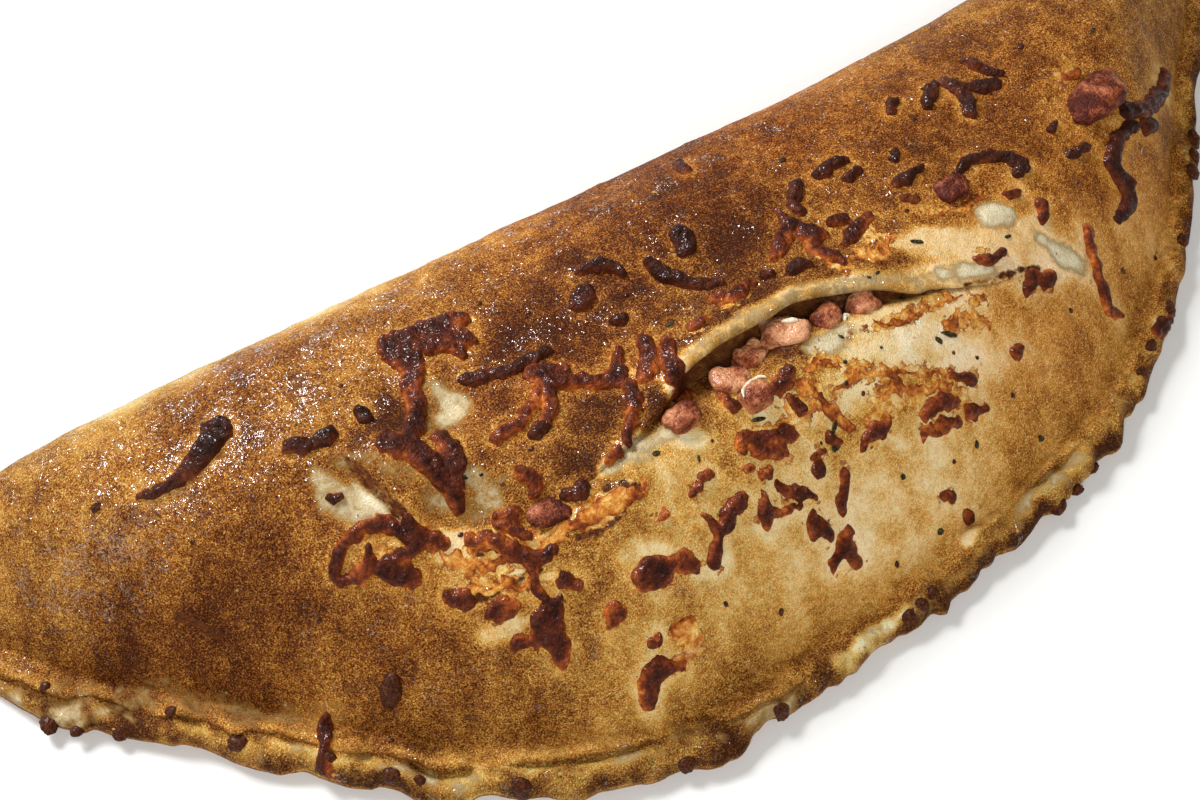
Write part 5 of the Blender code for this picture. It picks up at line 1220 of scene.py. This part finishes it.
def crust_finish(grain):
    """Baked dough: the browning attribute, which also holds the painted shade in the seam's crease, broken up
    by grain, read through the crust's colours and tinted by the red attribute, which also holds a painted
    sheen along the left ridge. Over it lie, where their attribute and mottling pass a threshold, raw dough, a
    film of toasted cheese that is browner at its edges, and thin dark lines, those along the cuts being
    painted shade, and sauce with painted shade under the flap's rim tints it. Beads of oil glint where fine
    noise passes a threshold that the gloss attribute lowers."""
    material, tree, shader = finish("baked_crust")
    texture, coarse, beads, ripples = (
        grain_of(tree, grain, fineness) for fineness in (3200.0, 1000.0, 1500.0, 800.0))
    brown, gloss, sauce, covered, raw, off, red = (reading(tree, name) for name in (
        "brown", "gloss", "sauce", "film", "raw", "off_line", "red"))
    grit, mottle = centred(tree, texture["Grit"]), centred(tree, texture["Mottle"])
    rougher, wavering = centred(tree, coarse["Grit"]), centred(tree, coarse["Mottle"])

    detail = plus(tree, mottle, 0.6, calculate(tree, "MULTIPLY", grit, 2.3))
    detail = plus(tree, wavering, 0.45, plus(tree, rougher, 0.5, detail))
    strength = between(tree, brown, 0.10, 0.60, 0.05, 0.72)
    baked = ramp(tree, plus(tree, detail, strength, brown), CRUST_COLOURS)
    redness_and_sheen = plus(tree, calculate(tree, "ADD", rougher, grit), 1.6, red)
    baked = mix(tree, 1.0, baked, ramp(tree, plus(tree, redness_and_sheen, 0.5, 0.5), TINTS), blend="MULTIPLY")

    torn = plus(tree, calculate(tree, "ADD", mottle, wavering), 0.8, raw)
    baked = mix(tree, between(tree, torn, 0.15, 0.6), baked, ramp(tree, torn, RAW_COLOURS))
    ragged = plus(tree, mottle, 0.6, wavering)
    toasted = plus(tree, ragged, 1.8, covered)
    share, inner = between(tree, toasted, 0.44, 0.52), between(tree, toasted, 0.44, 0.66)
    tone = plus(tree, grit, 0.8, plus(tree, centred(tree, beads["Mottle"]), 2.2, 0.28))
    baked = mix(tree, share, baked, ramp(tree, plus(tree, inner, 0.40, tone), FILM_COLOURS))
    # Thin dark lines: painted shade in the cuts, and toasted threads of cheese.
    line = between(tree, plus(tree, ragged, 2.0, off), 0.4, 0.0)
    baked = mix(tree, line, baked, ramp(tree, calculate(tree, "ADD", texture["Mottle"], grit), LINE_COLOURS))
    # Sauce and painted shade under the flap's rim darken the colour towards (88, 44, 22).
    stained_and_shaded = mix(tree, plus(tree, mottle, 0.8, sauce), baked, colour(88, 44, 22))

    oil = plus(tree, wavering, 2.6, plus(tree, share, 0.25, gloss))
    bead = between(tree, plus(tree, oil, 0.30, beads["Grit"]), 0.68, 0.73)
    height = plus(tree, share, 0.5, texture["Height"])
    feed(tree, shader, {
        "Base Color": stained_and_shaded, "Roughness": 0.6, "Specular IOR Level": 0.06,
        "Normal": bumped(tree, height, 0.0003), "Coat Weight": bead, "Coat Roughness": 0.12, "Coat IOR": 1.8,
        "Coat Normal": bumped(tree, ripples["Grit"], 0.0012)})
    return material


CHARRED_COLOURS = ((0.0, (128, 66, 32)), (0.2, (96, 44, 23)), (0.45, (66, 30, 18)), (1.0, (34, 16, 11)))
BROWNED_COLOURS = ((0.0, (206, 122, 50)), (0.2, (160, 80, 32)), (0.42, (112, 49, 22)), (0.65, (76, 31, 16)),
                   (1.0, (40, 16, 10)))
LUMP_COLOURS = ((0.1, (110, 58, 26)), (0.45, (70, 34, 16)), (0.8, (40, 19, 9)))
MELTED_COLOURS = ((0.0, (98, 42, 16)), (0.3, (148, 74, 26)), (0.5, (190, 112, 42)), (0.75, (214, 152, 70)),
                  (1.0, (234, 194, 114)))


def cheese_finish(name, grain, colours, broken):
    """Baked cheese: the depth inside its rim, toasting and lumpy grain, by a share broken, choose its colour.
    Fat gleams on it where fine noise passes a threshold."""
    material, tree, shader = finish(name)
    texture, fine = grain_of(tree, grain, 1100.0), grain_of(tree, grain, 2400.0)
    grit, mottle = centred(tree, texture["Grit"]), centred(tree, texture["Mottle"])
    level = plus(tree, reading(tree, "toast"), 0.35, plus(tree, reading(tree, "rim"), 0.40, 0.16))
    level = plus(tree, grit, 0.5 * broken, plus(tree, mottle, broken, level))
    height = plus(tree, fine["Grit"], 0.5, texture["Height"])
    feed(tree, shader, {
        "Base Color": ramp(tree, level, colours), "Roughness": plus(tree, grit, 0.5, 0.5),
        "Specular IOR Level": 0.08, "Normal": bumped(tree, height, 0.0006),
        "Coat Weight": between(tree, fine["Grit"], 0.52, 0.60, 0.0, 0.5), "Coat Roughness": 0.07,
        "Coat Normal": bumped(tree, texture["Grit"], 0.0004)})
    return material


HAM_COLOURS = ((0.0, (220, 160, 118)), (0.3, (190, 122, 82)), (0.55, (156, 86, 54)), (0.8, (112, 50, 28)),
               (1.0, (74, 28, 16)))


def ham_finish(grain):
    """Cooked ham: pink to red-brown where it is seared, faintly fibrous, and moist where it is not seared."""
    material, tree, shader = finish("ham")
    texture, fine = grain_of(tree, grain, 1000.0), grain_of(tree, grain, 2600.0)
    sear, grit = reading(tree, "sear"), centred(tree, texture["Grit"])
    level = plus(tree, centred(tree, texture["Mottle"]), 1.5, plus(tree, sear, 0.8, 0.02))
    level = plus(tree, centred(tree, fine["Grit"]), 0.8, plus(tree, grit, 0.8, level))
    height = plus(tree, fine["Grit"], 0.6, texture["Height"])
    feed(tree, shader, {
        "Base Color": ramp(tree, level, HAM_COLOURS), "Roughness": plus(tree, grit, 0.5, 0.5),
        "Specular IOR Level": 0.12, "Normal": bumped(tree, height, 0.0006),
        "Coat Weight": plus(tree, sear, -0.55, 0.48), "Coat Roughness": 0.14,
        "Coat Normal": bumped(tree, texture["Grit"], 0.0004)})
    return material


HERB_COLOURS = ((0.2, (24, 20, 10)), (0.5, (46, 40, 20)), (0.8, (92, 78, 40)))
CRUMB_COLOURS = ((0.2, (34, 16, 10)), (0.5, (62, 28, 15)), (0.8, (110, 54, 24)))
THREAD_COLOURS = ((0.2, (214, 190, 150)), (0.5, (236, 222, 190)), (0.8, (244, 236, 214)))


def speckled_finish(name, grain, colours, coat):
    """A plain finish for small things: grit picks a place in the colours, with a share of glossy coat."""
    material, tree, shader = finish(name)
    texture = grain_of(tree, grain, 1800.0)
    level = plus(tree, centred(tree, texture["Grit"]), 1.6, 0.5)
    feed(tree, shader, {
        "Base Color": ramp(tree, level, colours), "Roughness": 0.6, "Specular IOR Level": 0.1,
        "Coat Weight": coat, "Coat Roughness": 0.15, "Normal": bumped(tree, texture["Height"], 0.0003)})
    return material


# ---------------------------------------------------------------- stage: floor, lights, camera

CAMERA_AZIMUTH, CAMERA_ELEVATION = -29.4, 58.0
CAMERA_DISTANCE, CAMERA_LENS = 0.56, 85.0
CAMERA_TARGET = Vector((-0.019, 0.0115, 0.015))
LIGHT_TARGET = Vector((0.0, 0.0, 0.02))
FLOOR_REACH = 1.5


def direction(azimuth, elevation):
    """Unit vector towards an azimuth, 0 from the lip's side and 90 from the right, and an elevation."""
    side, up = np.radians(azimuth), np.radians(elevation)
    return Vector((np.sin(side) * np.cos(up), -np.cos(side) * np.cos(up), np.sin(up)))


def aimed(thing, azimuth, elevation, distance, target):
    """Places a light or camera round a target and turns it to face it."""
    thing.location = target + direction(azimuth, elevation) * distance
    thing.rotation_euler = (target - thing.location).to_track_quat("-Z", "Y").to_euler()
    bpy.context.scene.collection.objects.link(thing)
    return thing


def soft_light(name, azimuth, elevation, distance, size, power, mirrored=True, lighting=True):
    """A square soft box that faces the crust, in metres and watts. One that is not mirrored adds no
    highlights, and one that is not lighting adds them alone."""
    lamp = bpy.data.lights.new(name, "AREA")
    lamp.size, lamp.energy = size, power
    box = aimed(bpy.data.objects.new(name, lamp), azimuth, elevation, distance, LIGHT_TARGET)
    box.visible_glossy, box.visible_diffuse = mirrored, lighting
    return box


def stage():
    """A pale floor, a bright even room, a soft window behind and to the left, a fill from the front left, and
    the camera."""
    material, _, shader = finish("pale_floor")
    shader.inputs["Base Color"].default_value = colour(236, 236, 234)
    shader.inputs["Roughness"].default_value = 0.9
    mesh = bpy.data.meshes.new("floor")
    corners = [(FLOOR_REACH * x, FLOOR_REACH * y, 0) for x, y in ((-1, -1), (1, -1), (1, 1), (-1, 1))]
    mesh.from_pydata(corners, [], [(0, 1, 2, 3)])
    mesh.materials.append(material)
    floor = bpy.data.objects.new("floor", mesh)
    bpy.context.scene.collection.objects.link(floor)

    world = bpy.data.worlds.new("room")
    world.use_nodes = True
    room = world.node_tree.nodes["Background"]
    room.inputs["Color"].default_value = colour(255, 253, 250)
    room.inputs["Strength"].default_value = 0.22
    bpy.context.scene.world = world
    soft_light("window", 205.0, 50.0, 1.1, 0.4, 13.5, mirrored=False)
    shine = soft_light("window_shine", 205.0, 48.0, 1.1, 0.42, 32.0, lighting=False)
    shine.data.color = (1.0, 0.94, 0.96)
    soft_light("front_fill", -25.0, 45.0, 1.2, 0.7, 9.5, mirrored=False)

    lens = bpy.data.cameras.new("camera")
    lens.lens, lens.sensor_width = CAMERA_LENS, 36.0
    lens.clip_start, lens.clip_end = 0.01, 10.0
    camera = bpy.data.objects.new("camera", lens)
    bpy.context.scene.camera = aimed(camera, CAMERA_AZIMUTH, CAMERA_ELEVATION, CAMERA_DISTANCE, CAMERA_TARGET)
    bpy.context.scene.view_settings.view_transform = "Standard"


grain = grain_group()
dough = crust(crust_finish(grain))
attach(dough, "root")
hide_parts("crust")

for name, runs, height, ragged, seed, colours, broken in (
    ("charred_cheese", CHARRED, 1.5, 1.0, 300, CHARRED_COLOURS, 1.4),
    ("browned_cheese", BROWNED, 1.25, 1.2, 320, BROWNED_COLOURS, 1.4),
    ("melted_cheese", MELTED, 0.32, 2.0, 340, MELTED_COLOURS, 1.9),
):
    piece = cheese_sheet(name, runs, height, ragged, seed, cheese_finish(name, grain, colours, broken))
    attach(piece, "root")

moist = ham_finish(grain)
for k, place in enumerate(HAM):
    piece = ham_piece(f"ham_dice_{k + 1:02d}", place, k, moist)
    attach(piece, "root")
    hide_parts(f"ham_{k + 1:02d}")

herb = speckled_finish("herb", grain, HERB_COLOURS, 0.1)
crumb = speckled_finish("crumb", grain, CRUMB_COLOURS, 0.3)
lump = speckled_finish("lump", grain, LUMP_COLOURS, 0.08)
thread = speckled_finish("thread", grain, THREAD_COLOURS, 0.3)
for piece, slot in (
    (lumps("herb_flakes", HERBS, 0.9, herb, SEED + 90), "herb"),
    (lumps("burnt_crumbs", CRUMBS, 0.7, crumb, SEED + 91), "cheese"),
    (lumps("lip_lumps", LIP_LUMPS, 0.45, lump, SEED + 92, rings=9, sides=16, uneven=0.12), "cheese"),
    (threads("cheese_threads", THREADS, thread), "cheese"),
):
    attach(piece, "root")

stage()
